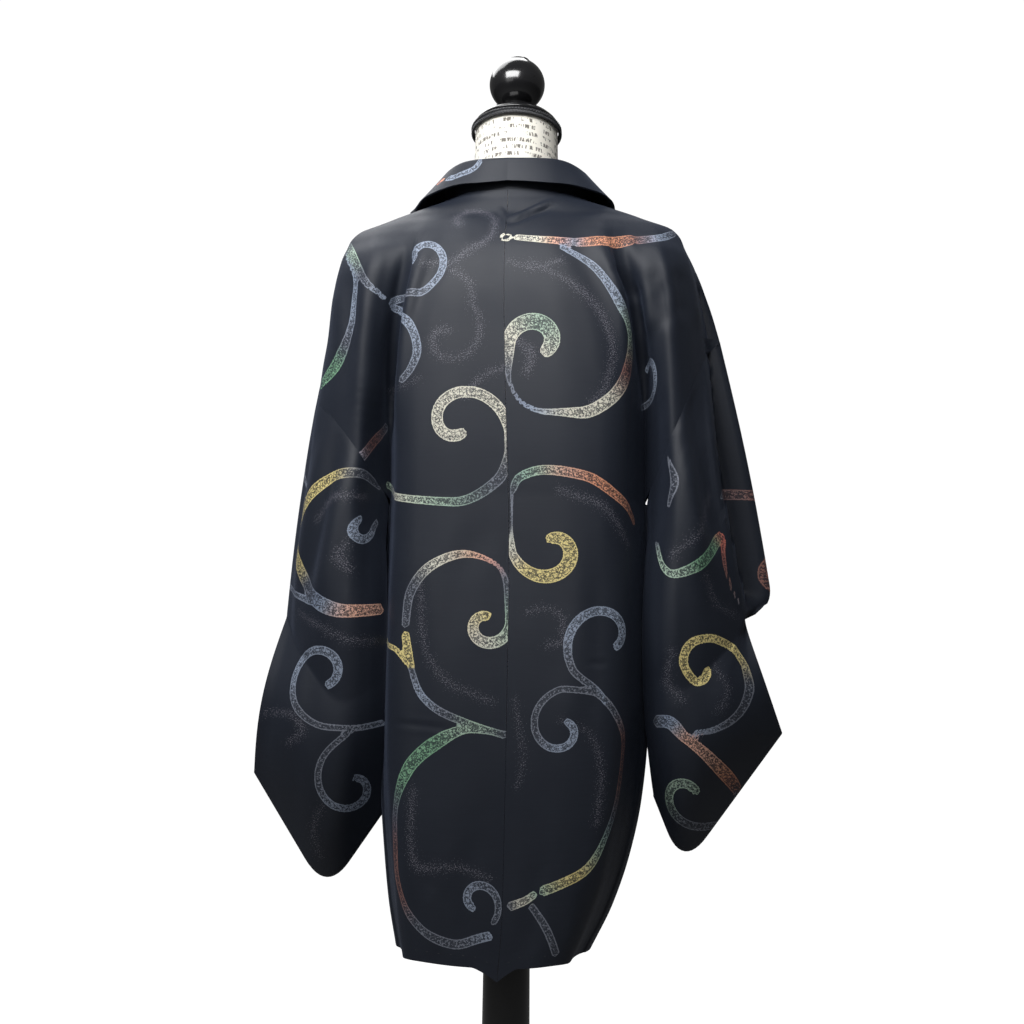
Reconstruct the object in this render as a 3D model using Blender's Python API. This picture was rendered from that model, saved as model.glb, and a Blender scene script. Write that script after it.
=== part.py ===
# A haori jacket on a limbless dress form with a turned stand. Metres, +Z up.
# The stand is on the floor at z = 0 with its pole on the Z axis. The form's chest faces -Y, its back +Y,
# and the wearer's left is +X. Every piece of cloth is a wall of its own, cut from one shared skin.
import math
from collections import namedtuple

import bmesh
import bpy
import numpy as np

# ---------------------------------------------------------------- driving sizes
CLOTH = 0.0020  # thickness of the lined silk
SEAT = 0.0006  # between the shoulders of the form and the cloth that rests on them
UNDERARM_SLIT = 0.0045  # the sleeve's inner edge starts this far out from the body
SEAM_GAP = 0.0003  # between two pieces that are sewn or fitted together
HEM_Z = 0.467  # height of the hem above the floor
UNDERARM_Z = 1.000  # where the sleeve leaves the body
SWAY_AT_HEM = 0.009  # the hem hangs this far towards the wearer's left
HEM_DROP = 0.005  # the centre seam hangs this much lower at the hem
CORNER_GAP = 0.0012  # at the underarm, where body, gusset and sleeve meet in a point
RIDGE_BULGE = 0.0008  # a face bent further than this is split along its ridge
SEWN_EDGE = 0.0080  # width of the closed edge that joins a sleeve's two layers
MOUTH_DEPTH = 0.040  # each layer's mouth edge stands this far from the middle
CORNER_RADIUS = 0.028  # rounded lowest corner of the sleeve
RIDGE_Y = -0.010  # the shoulder fold runs this far before the middle
SHOULDER_END_Z = 1.340  # where the shoulder turns down
FLARE_DEPTH = 0.160  # the shoulder fold takes this height to stand out fully
PIT = 0.55  # place across the back, from 0 at the centre to 1 at the shoulder fold, of the deep fold

COLLAR_WALL = 0.0024  # one leg of the folded strip

NECK_TOP_Z = 1.480  # middle of the neck's cut
NECK_TILT = math.radians(11.0)  # the cut leans down to the chest
NECK_RADIUS = 0.052
TORSO_BOTTOM_Z = 0.735
POLE_TOP_RADIUS = 0.026
POLE_BOTTOM_RADIUS = 0.031
BASE_RADIUS = 0.180
BASE_HEIGHT = 0.050

BLACK_SILK = (0.018, 0.019, 0.024)
PALE_COTTON = (0.72, 0.68, 0.58)
BLACK_LACQUER = (0.012, 0.012, 0.013)
BLACK_BRAID = (0.020, 0.020, 0.022)

# One row for each level of the form: half width, depth behind and depth before its middle.
Torso = namedtuple("Torso", "z half back front")
TORSO = [
    Torso(0.735, 0.128, 0.100, 0.092),
    Torso(0.790, 0.138, 0.112, 0.098),
    Torso(0.850, 0.136, 0.108, 0.096),
    Torso(0.920, 0.122, 0.093, 0.088),
    Torso(0.985, 0.114, 0.084, 0.084),
    Torso(1.060, 0.122, 0.087, 0.097),
    Torso(1.130, 0.140, 0.094, 0.110),
    Torso(1.190, 0.164, 0.098, 0.104),
    Torso(1.243, 0.188, 0.098, 0.090),
    Torso(1.293, 0.200, 0.090, 0.074),
    Torso(1.323, 0.201, 0.078, 0.062),
    Torso(1.339, 0.191, 0.069, 0.055),
    Torso(1.353, 0.162, 0.062, 0.050),
    Torso(1.365, 0.128, 0.058, 0.048),
    Torso(1.375, 0.098, 0.055, 0.047),
    Torso(1.387, 0.073, 0.054, 0.047),
    Torso(1.405, 0.058, 0.053, 0.049),
    Torso(1.435, 0.053, 0.052, 0.052),
    Torso(1.480, 0.052, 0.052, 0.052),
]

# One row for each level of the cloth from the neck seam to the underarm.
# back, front: how far it stands behind and before the middle. edge: front's seam with the collar.
# pit_x, pit_y: bottom of the deep fold beside the back. peak_x, peak_y: top of the drape outside it.
# reach: edge of the back's drape. free: 0 where the cloth lies on the form, 1 where it hangs.
Shoulder = namedtuple("Shoulder", "z back front edge pit_x pit_y peak_x peak_y reach free")
SHOULDERS = [
    Shoulder(1.383, 0.060, 0.052, 0.0840, 0.060, 0.055, 0.070, 0.045, 0.082, 0.00),
    Shoulder(1.380, 0.061, 0.053, 0.0850, 0.065, 0.056, 0.075, 0.047, 0.090, 0.00),
    Shoulder(1.375, 0.063, 0.054, 0.0855, 0.072, 0.058, 0.085, 0.050, 0.102, 0.00),
    Shoulder(1.365, 0.067, 0.058, 0.0860, 0.086, 0.061, 0.105, 0.055, 0.132, 0.00),
    Shoulder(1.353, 0.073, 0.064, 0.0860, 0.102, 0.066, 0.130, 0.062, 0.166, 0.00),
    Shoulder(1.339, 0.082, 0.072, 0.0855, 0.114, 0.072, 0.150, 0.070, 0.207, 0.35),
    Shoulder(1.323, 0.091, 0.082, 0.0850, 0.124, 0.078, 0.160, 0.078, 0.212, 0.60),
    Shoulder(1.300, 0.100, 0.094, 0.0845, 0.134, 0.081, 0.170, 0.085, 0.217, 0.90),
    Shoulder(1.272, 0.107, 0.104, 0.0840, 0.142, 0.078, 0.176, 0.088, 0.221, 1.00),
    Shoulder(1.240, 0.112, 0.113, 0.0835, 0.148, 0.071, 0.180, 0.088, 0.226, 1.00),
    Shoulder(1.200, 0.115, 0.121, 0.0830, 0.152, 0.060, 0.183, 0.087, 0.230, 1.00),
    Shoulder(1.150, 0.118, 0.128, 0.0820, 0.155, 0.042, 0.186, 0.085, 0.236, 1.00),
    Shoulder(1.100, 0.120, 0.131, 0.0810, 0.157, 0.028, 0.188, 0.083, 0.243, 1.00),
    Shoulder(1.050, 0.121, 0.132, 0.0800, 0.157, 0.018, 0.189, 0.080, 0.249, 1.00),
    Shoulder(1.000, 0.121, 0.133, 0.0790, 0.157, 0.011, 0.190, 0.076, 0.255, 1.00),
]

# One row for each level of the body below the underarm, to the hem.
# left, right: half width of each side. gusset: width of the side gusset. wave: depth of the front's soft folds.
Body = namedtuple("Body", "z back front edge left right gusset wave")
BODY = [
    Body(1.000, 0.121, 0.133, 0.0790, 0.150, 0.164, 0.022, 0.000),
    Body(0.940, 0.123, 0.135, 0.0780, 0.151, 0.166, 0.026, 0.004),
    Body(0.880, 0.126, 0.137, 0.0770, 0.152, 0.167, 0.030, 0.007),
    Body(0.820, 0.129, 0.139, 0.0760, 0.152, 0.168, 0.035, 0.010),
    Body(0.760, 0.130, 0.140, 0.0750, 0.151, 0.167, 0.040, 0.012),
    Body(0.700, 0.129, 0.140, 0.0740, 0.149, 0.164, 0.045, 0.014),
    Body(0.640, 0.127, 0.138, 0.0730, 0.145, 0.158, 0.050, 0.015),
    Body(0.580, 0.124, 0.134, 0.0720, 0.138, 0.146, 0.055, 0.015),
    Body(0.520, 0.120, 0.128, 0.0700, 0.129, 0.127, 0.060, 0.014),
    Body(0.467, 0.116, 0.120, 0.0680, 0.117, 0.102, 0.065, 0.012),
]

# One row for each side. sign: +1 on +X. spread: how far out the deep fold lies. flare: the shoulder fold
# stands this far outside the back's drape. Each sleeve hangs from an empty shoulder, its mouth turned down.
# top: height where the armhole seam meets the shoulder fold. wrist: lower end of that fold.
# mouth: lower end of the sleeve mouth. tip: the rounded corner. inner: lower end of the open inner edge.
# notch: how far the middle of the mouth's edge lies inside the line between its ends.
Side = namedtuple(
    "Side", "name sign spread flare notch top wrist_x wrist_z mouth_x mouth_z tip_x tip_z inner_x inner_z"
)
SIDES = [
    Side("left", 1, 0.955, 0.010, 0.0, 1.151, 0.281, 0.860, 0.314, 0.668, 0.222, 0.533, 0.163, 0.620),
    Side("right", -1, 1.045, 0.030, 0.018, 1.206, 0.318, 0.882, 0.328, 0.727, 0.211, 0.573, 0.177, 0.650),
]

# The collar's set along its length. turn: from standing up at the neck, 0, to lying on the front, 1.
# stand: from the neck seam to its fold. fall: from the fold to its free edge. lean: of the stand, outwards.
# open: angle between stand and fall. Both in degrees. at: 0 centre back, 1 neck point, 2 hem.
Collar = namedtuple("Collar", "at turn stand fall lean open")
COLLAR = [
    Collar(0.000, 0.00, 0.037, 0.036, 0.0, 24.0),
    Collar(0.450, 0.00, 0.034, 0.037, 6.0, 36.0),
    Collar(0.800, 0.00, 0.028, 0.040, 18.0, 60.0),
    Collar(1.000, 0.02, 0.026, 0.041, 22.0, 66.0),
    Collar(1.012, 0.14, 0.026, 0.041, 20.0, 62.0),
    Collar(1.030, 0.34, 0.027, 0.040, 14.0, 50.0),
    Collar(1.060, 0.62, 0.029, 0.038, 6.0, 32.0),
    Collar(1.110, 0.86, 0.031, 0.036, 0.0, 18.0),
    Collar(1.200, 1.00, 0.033, 0.035, 0.0, 9.0),
    Collar(2.000, 1.00, 0.033, 0.035, 0.0, 7.0),
]

# How many steps each stretch of the cloth is divided into.
YOKE_ROWS = 11
ARMHOLE_ROWS = 12
SKIRT_ROWS = 11
PANEL_COLUMNS = 9
DRAPE_COLUMNS = 6
SLEEVE_ROWS = 14
WRIST_SHARE = 8 / 14  # of the outer line, where the mouth begins


# ---------------------------------------------------------------- curves
def smooth(xs, ys, x):
    """Value at x of the curve through the points that never swings past them."""
    if x <= xs[0]:
        return ys[0]
    if x >= xs[-1]:
        return ys[-1]
    i = 0
    while x > xs[i + 1]:
        i += 1

    def rise(k):
        return (ys[k + 1] - ys[k]) / (xs[k + 1] - xs[k])

    def slope(k):
        if k == 0:
            return rise(0)
        if k == len(xs) - 1:
            return rise(k - 1)
        before = rise(k - 1)
        after = rise(k)
        if before * after <= 0.0:
            return 0.0
        return 2.0 * before * after / (before + after)

    step = xs[i + 1] - xs[i]
    t = (x - xs[i]) / step
    a = (1 + 2 * t) * (1 - t) ** 2 * ys[i] + t * t * (3 - 2 * t) * ys[i + 1]
    b = t * (1 - t) ** 2 * step * slope(i) - t * t * (1 - t) * step * slope(i + 1)
    return a + b


def level(table, z):
    """One row of a table, worked out for any height. The rows go down from the top."""
    heights = [-row.z for row in table]
    values = [smooth(heights, [row[i] for row in table], -z) for i in range(len(table[0]))]
    values[0] = z
    return type(table[0])(*values)


TORSO_DOWN = TORSO[::-1]


def torso_point(z, angle):
    """On the form: angle 0 at the wearer's side, 90 degrees at the back, -90 at the chest."""
    row = level(TORSO_DOWN, z)
    depth = row.back if math.sin(angle) > 0.0 else row.front
    return np.array([row.half * math.cos(angle), depth * math.sin(angle), z])


def over_torso(z, angle, away):
    """A point that stands the given distance off the form."""
    point = torso_point(z, angle)
    across = torso_point(z, angle + 0.02) - torso_point(z, angle - 0.02)
    up = torso_point(z + 0.002, angle) - torso_point(z - 0.002, angle)
    normal = np.cross(across, up)
    normal /= np.linalg.norm(normal)
    return point + normal * away


# ---------------------------------------------------------------- the skin of the jacket
def hanging(side, z):
    """The bends of one level of the cloth: place across, distance out, distance back."""
    if z >= UNDERARM_Z:
        row = level(SHOULDERS, z)
        pit_x = row.pit_x * side.spread
        pit_y = row.pit_y
        peak_x = row.peak_x * side.spread
        peak_y = row.peak_y
        reach = row.reach
        wave = 0.0
    else:
        row = level(BODY, z)
        pit_x = row.left if side.sign > 0 else row.right
        pit_y = row.gusset / 2
        peak_x = pit_x + 0.033
        peak_y = 0.076
        reach = pit_x + 0.100
        wave = row.wave
    back = row.back
    front = row.front
    edge = row.edge
    flare = side.flare * min(1.0, (SHOULDER_END_Z - z) / FLARE_DEPTH) if z < SHOULDER_END_Z else 0.0
    fold = reach + flare
    return [
        (0.00, 0.0, back),
        (0.14, 0.36 * pit_x, back + 0.001),
        (0.28, 0.67 * pit_x, 0.95 * back),
        (0.38, 0.85 * pit_x, 0.76 * back + 0.24 * pit_y),
        (0.47, pit_x - 0.011, 0.34 * back + 0.66 * pit_y),
        (PIT, pit_x, pit_y),
        (0.62, pit_x + 0.46 * (peak_x - pit_x), pit_y + 0.50 * (peak_y - pit_y)),
        (0.72, peak_x, peak_y),
        (0.84, 0.5 * (peak_x + reach), 0.80 * peak_y),
        (0.92, reach - 0.002, 0.42 * peak_y),
        (0.96, reach + 0.25 * flare, 0.12 * peak_y),
        (1.00, fold, RIDGE_Y),
        (1.05, fold - 0.008, -0.40 * peak_y),
        (1.16, 0.5 * (peak_x + reach), -0.78 * peak_y),
        (1.28, peak_x, -0.88 * peak_y),
        (1.38, pit_x + 0.46 * (peak_x - pit_x), -pit_y - 0.44 * (peak_y - pit_y)),
        (2.0 - PIT, pit_x, -pit_y),
        (1.53, pit_x - 0.009 - 0.1 * wave, -0.42 * front - 0.58 * pit_y),
        (1.62, 0.93 * pit_x, -0.80 * front - 0.20 * pit_y + 0.3 * wave),
        (1.73, 0.36 * edge + 0.57 * pit_x, -0.98 * front - 0.5 * wave),
        (1.86, 0.74 * edge + 0.23 * pit_x, -front + 0.8 * wave),
        (2.00, edge, -front - 0.2 * wave),
    ]


def sway(z):
    """How far the cloth has drifted to the wearer's left at this height."""
    low = max(0.0, (UNDERARM_Z - z) / (UNDERARM_Z - HEM_Z))
    return SWAY_AT_HEM * low * low


def skin(side, z, across):
    """A point of the jacket's outside. across: 0 centre back, 1 shoulder fold, 2 the front's edge."""
    bends = hanging(side, z)
    places = [bend[0] for bend in bends]
    x = smooth(places, [bend[1] for bend in bends], across)
    y = smooth(places, [bend[2] for bend in bends], across)
    point = np.array([x, y, z])
    if z > UNDERARM_Z:
        row = level(SHOULDERS, z)
        if row.free < 1.0:
            half = level(TORSO_DOWN, z).half
            if across <= 1.0:
                angle = 0.5 * math.pi * (1.0 - across)
            else:
                last = math.acos(min(1.0, row.edge / (half + 0.004)))
                angle = -last * (across - 1.0)
            resting = over_torso(z, angle, CLOTH + SEAT)
            point = resting + row.free * (point - resting)
    low = max(0.0, (UNDERARM_Z - z) / (UNDERARM_Z - HEM_Z))
    if across < 0.4:
        point[2] -= HEM_DROP * low ** 3 * math.cos(0.5 * math.pi * across / 0.4) ** 2
    point[0] = side.sign * point[0] + sway(z)
    return point


def yoke_heights(side):
    """Heights of the rows from the neck seam down to the top of the armhole."""
    fixed = [row.z for row in SHOULDERS[:8]]
    steps = YOKE_ROWS - len(fixed) + 1
    return fixed + [fixed[-1] + (side.top - fixed[-1]) * i / steps for i in range(1, steps + 1)]


def armhole(side, share):
    """Height and place across of the armhole seam, from its top to the underarm."""
    return side.top + (UNDERARM_Z - side.top) * share, PIT + (1.0 - PIT) * (1.0 - share)


def body_rows(side, front):
    """Rows of points of the back, or of the front, of one body piece."""
    rows = []

    def mirrored(place):
        return 2.0 - place if front else place

    for z in yoke_heights(side):
        places = [PIT * i / PANEL_COLUMNS for i in range(PANEL_COLUMNS + 1)]
        places += [PIT + (1.0 - PIT) * i / DRAPE_COLUMNS for i in range(1, DRAPE_COLUMNS + 1)]
        rows.append([skin(side, z, mirrored(place)) for place in places])
    for k in range(1, ARMHOLE_ROWS + 1):
        z, seam = armhole(side, k / ARMHOLE_ROWS)
        places = [PIT * i / PANEL_COLUMNS for i in range(PANEL_COLUMNS + 1)]
        if k < ARMHOLE_ROWS:
            places += [PIT + (seam - PIT) * i / DRAPE_COLUMNS for i in range(1, DRAPE_COLUMNS + 1)]
        rows.append([skin(side, z, mirrored(place)) for place in places])
    for k in range(1, SKIRT_ROWS + 1):
        z = UNDERARM_Z + (HEM_Z - UNDERARM_Z) * k / SKIRT_ROWS
        places = [PIT * i / PANEL_COLUMNS for i in range(PANEL_COLUMNS + 1)]
        rows.append([skin(side, z, mirrored(place)) for place in places])
    return rows


def gusset_rows(side):
    """Rows of points of the narrow piece between back and front below the underarm."""
    rows = []
    for k in range(SKIRT_ROWS + 1):
        z = UNDERARM_Z + (HEM_Z - UNDERARM_Z) * k / SKIRT_ROWS
        back = skin(side, z, PIT)
        front = skin(side, z, 2.0 - PIT)
        middle = 0.5 * (back + front)
        middle[0] += side.sign * 0.10 * abs(back[1] - front[1])
        rows.append([back, middle, front])
    return rows


def lower_edge(side):
    """The sleeve's sewn lower outline, from its inner end by the rounded corner to the mouth."""
    inner = np.array([side.inner_x, side.inner_z])
    tip = np.array([side.tip_x, side.tip_z])
    mouth = np.array([side.mouth_x, side.mouth_z])
    start = tip + (inner - tip) / np.linalg.norm(inner - tip) * CORNER_RADIUS
    end = tip + (mouth - tip) / np.linalg.norm(mouth - tip) * CORNER_RADIUS
    points = [inner + (start - inner) * t for t in (0.0, 0.33, 0.67, 1.0)]
    points += [(1 - t) ** 2 * start + 2 * t * (1 - t) * tip + t * t * end for t in (0.33, 0.67)]
    points += [end + (mouth - end) * i / 6 for i in range(7)]
    return points


def outer_edge(side, share, facing):
    """The sleeve's outer line: the shoulder fold as far as the wrist, then the open mouth."""
    fold = skin(side, side.top, 1.0)
    wrist = np.array([side.sign * side.wrist_x, RIDGE_Y, side.wrist_z])
    mouth = np.array([side.sign * side.mouth_x, facing * SEWN_EDGE / 2, side.mouth_z])
    if share <= WRIST_SHARE:
        t = share / WRIST_SHARE
        point = fold + (wrist - fold) * t
        point[0] += side.sign * 0.004 * math.sin(math.pi * t)
        return point
    t = (share - WRIST_SHARE) / (1.0 - WRIST_SHARE)
    point = wrist + (mouth - wrist) * t
    point[0] -= side.sign * side.notch * math.sin(math.pi * t) ** 2
    point[1] += facing * MOUTH_DEPTH * math.sin(math.pi * t)
    return point


def sleeve_rows(side, front):
    """Rows of points of one layer of the sleeve, from the armhole seam to the sewn lower outline."""
    facing = -1.0 if front else 1.0
    columns = ARMHOLE_ROWS
    seam = []
    for i in range(columns + 1):
        z, place = armhole(side, 1.0 - i / columns)
        seam.append(skin(side, z, 2.0 - place if front else place))
    seam[0] = seam[0] + np.array([side.sign * UNDERARM_SLIT, 0.0, 0.0])
    low = [np.array([side.sign * x, facing * SEWN_EDGE / 2, z]) for x, z in lower_edge(side)]
    rows = []
    for k in range(SLEEVE_ROWS + 1):
        v = k / SLEEVE_ROWS
        bow = math.sin(math.pi * v)
        inner = seam[0] + (low[0] - seam[0]) * v
        inner[0] += side.sign * (0.006 * min(1.0, 7.0 * v) * (1.0 - v) + 0.003 * bow)
        inner[1] += facing * 0.020 * bow
        outer = outer_edge(side, v, facing)
        row = []
        for i in range(columns + 1):
            t = i / columns
            ruled = seam[i] * (1 - v) + low[i] * v
            sides = inner * (1 - t) + outer * t
            corners = (seam[0] * (1 - t) + seam[-1] * t) * (1 - v) + (low[0] * (1 - t) + low[-1] * t) * v
            point = ruled + sides - corners
            point[1] += facing * 0.020 * bow * math.sin(math.pi * t)
            row.append(point)
        rows.append(row)
    return rows


# ---------------------------------------------------------------- from skin to walls
class Skin:
    """All the cloth's outer faces, so that neighbours share their corners and their directions."""

    def __init__(self):
        self.points = []
        self.names = {}
        self.pieces = {}

    def corner(self, point):
        key = tuple(int(round(value * 2.0e5)) for value in point)
        if key not in self.names:
            self.names[key] = len(self.points)
            self.points.append(np.array(point, dtype=float))
        return self.names[key]

    def add(self, piece, rows, flip):
        """Faces between neighbouring rows. Rows may be shorter than the row above."""
        faces = self.pieces.setdefault(piece, [])
        names = [[self.corner(point) for point in row] for row in rows]
        for upper, lower in zip(names, names[1:]):
            for i in range(min(len(upper), len(lower)) - 1):
                ring = [upper[i], upper[i + 1], lower[i + 1], lower[i]]
                face = [name for j, name in enumerate(ring) if name != ring[j - 1]]
                if len(set(face)) >= 3:
                    faces.append(face[::-1] if flip else face)

    def directions(self, pieces):
        """At every corner of these pieces: which way is out, and how deep the wall goes."""
        corners = []
        for piece in pieces:
            for face in self.pieces[piece]:
                for i, name in enumerate(face):
                    here = self.points[name]
                    after = self.points[face[(i + 1) % len(face)]] - here
                    before = self.points[face[i - 1]] - here
                    across = np.cross(after, before)
                    size = np.linalg.norm(across)
                    if size > 1e-12:
                        corners.append((name, across / size, math.atan2(size, np.dot(after, before))))
        total = {}
        for name, way, angle in corners:
            total[name] = total.get(name, np.zeros(3)) + way * angle
        ways = {name: value / np.linalg.norm(value) for name, value in total.items()}
        slants = {}
        for name, way, angle in corners:
            slants.setdefault(name, []).append(np.dot(way, ways[name]))
        return {name: (ways[name], CLOTH / max(0.45, np.mean(slants[name]))) for name in ways}


def wall(skin_faces, points, shared, own, apart):
    """Corners and faces of the closed wall inside one piece's outer faces."""
    edges = {}
    for face in skin_faces:
        for a, b in zip(face, face[1:] + face[:1]):
            edges[(a, b)] = edges.get((a, b), 0) + 1
    rim = [(a, b) for a, b in edges if (b, a) not in edges]
    names = sorted({name for face in skin_faces for name in face})
    place = {name: i for i, name in enumerate(names)}
    sets = [own[name] if name in apart else shared[name] for name in names]
    ways = {}
    for a, b in rim:
        for name in (a, b):
            way = np.cross(sets[place[name]][0], points[b] - points[a])
            ways.setdefault(name, []).append(way / np.linalg.norm(way))
    outside = []
    for name in names:
        point = points[name].copy()
        if name in ways:
            first, second = ways[name]
            gap = CORNER_GAP if name in apart else SEAM_GAP * 0.6
            point += (first + second) / max(0.5, 1.0 + np.dot(first, second)) * gap
        outside.append(point)
    inside = [point - way * depth for point, (way, depth) in zip(outside, sets)]
    count = len(names)
    faces = []
    for face in skin_faces:
        ring = [place[name] for name in face]
        halves = [ring]
        if len(ring) == 4:
            a, b, c, d = ring
            bulge = np.dot(outside[a] + outside[c] - outside[b] - outside[d], sets[a][0])
            halves = [[a, b, c], [a, c, d]] if bulge > -RIDGE_BULGE else [[a, b, d], [b, c, d]]
        for half in halves:
            faces.append(half)
            faces.append([corner + count for corner in reversed(half)])
    for a, b in rim:
        if a < b:
            faces += [[place[b], place[a], place[b] + count], [place[a], place[a] + count, place[b] + count]]
        else:
            faces += [[place[b], place[a], place[a] + count], [place[b], place[a] + count, place[b] + count]]
    return outside + inside, faces


# ---------------------------------------------------------------- collar
def collar_line():
    """The seam the collar is sewn to, from the centre back to the hem, for the wearer's left and right."""
    lines = []
    top = SHOULDERS[0].z
    for side in SIDES:
        places = [PIT * i / PANEL_COLUMNS for i in range(0, PANEL_COLUMNS + 1, 1)]
        places += [PIT + (1.0 - PIT) * i / DRAPE_COLUMNS for i in range(1, DRAPE_COLUMNS + 1)]
        line = [(place, skin(side, top, place)) for place in places]
        heights = yoke_heights(side)[1:]
        heights += [armhole(side, k / ARMHOLE_ROWS)[0] for k in range(2, ARMHOLE_ROWS + 1, 2)]
        heights += [UNDERARM_Z + (HEM_Z - UNDERARM_Z) * k / SKIRT_ROWS for k in range(1, SKIRT_ROWS + 1)]
        line += [(1.0 + (top - z) / (top - HEM_Z), skin(side, z, 2.0)) for z in heights]
        lines.append(line)
    return lines


def collar_leg_points(stand, fall, angle):
    """Middle line of the folded strip in its own plane: out along x, up along y."""
    bend = 0.0030
    points = [(0.0, 0.0), (0.0, stand - bend)]
    turn = math.pi - math.radians(angle)
    for t in (0.33, 0.67, 1.0):
        a = math.pi - turn * t
        points.append((bend + bend * math.cos(a), stand - bend + bend * math.sin(a)))
    end = points[-1]
    down = (math.sin(math.radians(angle)), -math.cos(math.radians(angle)))
    points.append((end[0] + down[0] * fall, end[1] + down[1] * fall))
    return points


def collar_section(stand, fall, angle):
    """Closed outline of the folded strip in its own plane."""
    line = collar_leg_points(stand, fall, angle)
    left = []
    right = []
    for i, point in enumerate(line):
        before = line[max(0, i - 1)]
        after = line[min(len(line) - 1, i + 1)]
        along = (after[0] - before[0], after[1] - before[1])
        size = math.hypot(along[0], along[1])
        across = (-along[1] / size * COLLAR_WALL / 2, along[0] / size * COLLAR_WALL / 2)
        left.append((point[0] + across[0], point[1] + across[1]))
        right.append((point[0] - across[0], point[1] - across[1]))
    return left + right[::-1]


def collar_rings():
    """Sections of the collar from the left hem round the neck to the right hem."""
    left, right = collar_line()
    stations = [(at, point, 1) for at, point in reversed(left)]
    stations += [(at, point, -1) for at, point in right[1:]]
    rings = []
    for i, (at, point, sign) in enumerate(stations):
        before = stations[max(0, i - 1)][1]
        after = stations[min(len(stations) - 1, i + 1)][1]
        along = after - before
        along /= np.linalg.norm(along)
        places = [row.at for row in COLLAR]
        values = [smooth(places, [row[k] for row in COLLAR], at) for k in range(len(COLLAR[0]))]
        set_here = Collar(*values)
        turn = set_here.turn
        lean = math.radians(set_here.lean)
        outward = np.array([point[0], point[1] * 1.4, 0.0])
        outward /= np.linalg.norm(outward)
        standing = np.array([0.0, 0.0, math.cos(lean)]) + outward * math.sin(lean)
        lying = np.array([-float(sign), 0.0, 0.0])
        up = standing * (1.0 - turn) + lying * turn
        up -= along * np.dot(up, along)
        up /= np.linalg.norm(up)
        out = np.cross(along, up)
        rim = np.array([0.0, -1.0, 0.0]) * turn + outward * (1.0 - turn)
        if np.dot(out, rim) < 0.0:
            out = -out
        base = point + up * (SEAM_GAP + 0.0024 * (1.0 - turn)) - out * CLOTH * 0.4
        section = collar_section(set_here.stand, set_here.fall, set_here.open)
        rings.append([base + out * x + up * y for x, y in section])
    return rings


# ---------------------------------------------------------------- making objects
def material(name, colour, roughness):
    made = bpy.data.materials.new(name)
    made.use_nodes = True
    shader = made.node_tree.nodes["Principled BSDF"]
    shader.inputs["Base Color"].default_value = (*colour, 1.0)
    shader.inputs["Roughness"].default_value = roughness
    return made


def solid(name, points, faces, look, smooth_faces=True):
    """One closed body from its corners and faces, with every face turned outwards."""
    mesh = bpy.data.meshes.new(name)
    mesh.from_pydata([tuple(point) for point in points], [], faces)
    work = bmesh.new()
    work.from_mesh(mesh)
    bmesh.ops.recalc_face_normals(work, faces=work.faces)
    if work.calc_volume(signed=True) < 0.0:
        bmesh.ops.reverse_faces(work, faces=work.faces)
    work.to_mesh(mesh)
    work.free()
    for polygon in mesh.polygons:
        polygon.use_smooth = smooth_faces
    mesh.materials.append(look)
    made = bpy.data.objects.new(name, mesh)
    collection.objects.link(made)
    return made


def loft(name, rings, look, joined=False):
    """Skin over closed rings of equal length, closed at both ends."""
    count = len(rings[0])
    points = [point for ring in rings for point in ring]
    faces = []
    for k in range(len(rings) - (0 if joined else 1)):
        a = k * count
        b = ((k + 1) % len(rings)) * count
        for i in range(count):
            j = (i + 1) % count
            faces.append([a + i, a + j, b + j, b + i])
    if not joined:
        faces.append(list(range(count))[::-1])
        faces.append([(len(rings) - 1) * count + i for i in range(count)])
    return solid(name, points, faces, look)


def turned(name, profile, look, segments=20):
    """A body of revolution about Z from (radius, height) points that start and end on the axis."""
    points = [np.array([0.0, 0.0, profile[0][1]])]
    for radius, z in profile[1:-1]:
        for i in range(segments):
            angle = 2.0 * math.pi * i / segments
            points.append(np.array([radius * math.cos(angle), radius * math.sin(angle), z]))
    points.append(np.array([0.0, 0.0, profile[-1][1]]))
    faces = []
    last = len(points) - 1
    rings = len(profile) - 2
    for i in range(segments):
        j = (i + 1) % segments
        faces.append([0, 1 + j, 1 + i])
        for k in range(rings - 1):
            a = 1 + k * segments
            b = a + segments
            faces.append([a + i, a + j, b + j, b + i])
        top = 1 + (rings - 1) * segments
        faces.append([top + i, top + j, last])
    return solid(name, points, faces, look)


def tilted(point, start, length):
    """Lean the top of the neck down to the chest."""
    share = min(1.0, max(0.0, (point[2] - start) / length))
    moved = np.array(point)
    moved[2] += math.tan(NECK_TILT) * point[1] * share
    return moved


# ---------------------------------------------------------------- start from an empty file
for existing in list(bpy.data.objects):
    bpy.data.objects.remove(existing, do_unlink=True)

collection = bpy.data.collections.new("haori_on_dress_form")
bpy.context.scene.collection.children.link(collection)

silk = material("black_silk", BLACK_SILK, 0.45)
cotton = material("pale_cotton", PALE_COTTON, 0.85)
lacquer = material("black_lacquer", BLACK_LACQUER, 0.18)
braid = material("black_braid", BLACK_BRAID, 0.80)

# ---------------------------------------------------------------- jacket
jacket = Skin()
underarms = set()
for side in SIDES:
    flip = side.sign < 0
    jacket.add("body_" + side.name, body_rows(side, False), not flip)
    jacket.add("body_" + side.name, body_rows(side, True), flip)
    jacket.add("gusset_" + side.name, gusset_rows(side), not flip)
    back_layer = sleeve_rows(side, False)
    front_layer = sleeve_rows(side, True)
    jacket.add("sleeve_" + side.name, back_layer, not flip)
    jacket.add("sleeve_" + side.name, front_layer, flip)
    jacket.add("sleeve_" + side.name, [back_layer[-1], front_layer[-1]], not flip)
    for z, place in ((UNDERARM_Z, PIT), (UNDERARM_Z, 2.0 - PIT)):
        underarms.add(jacket.corner(skin(side, z, place)))

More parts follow.
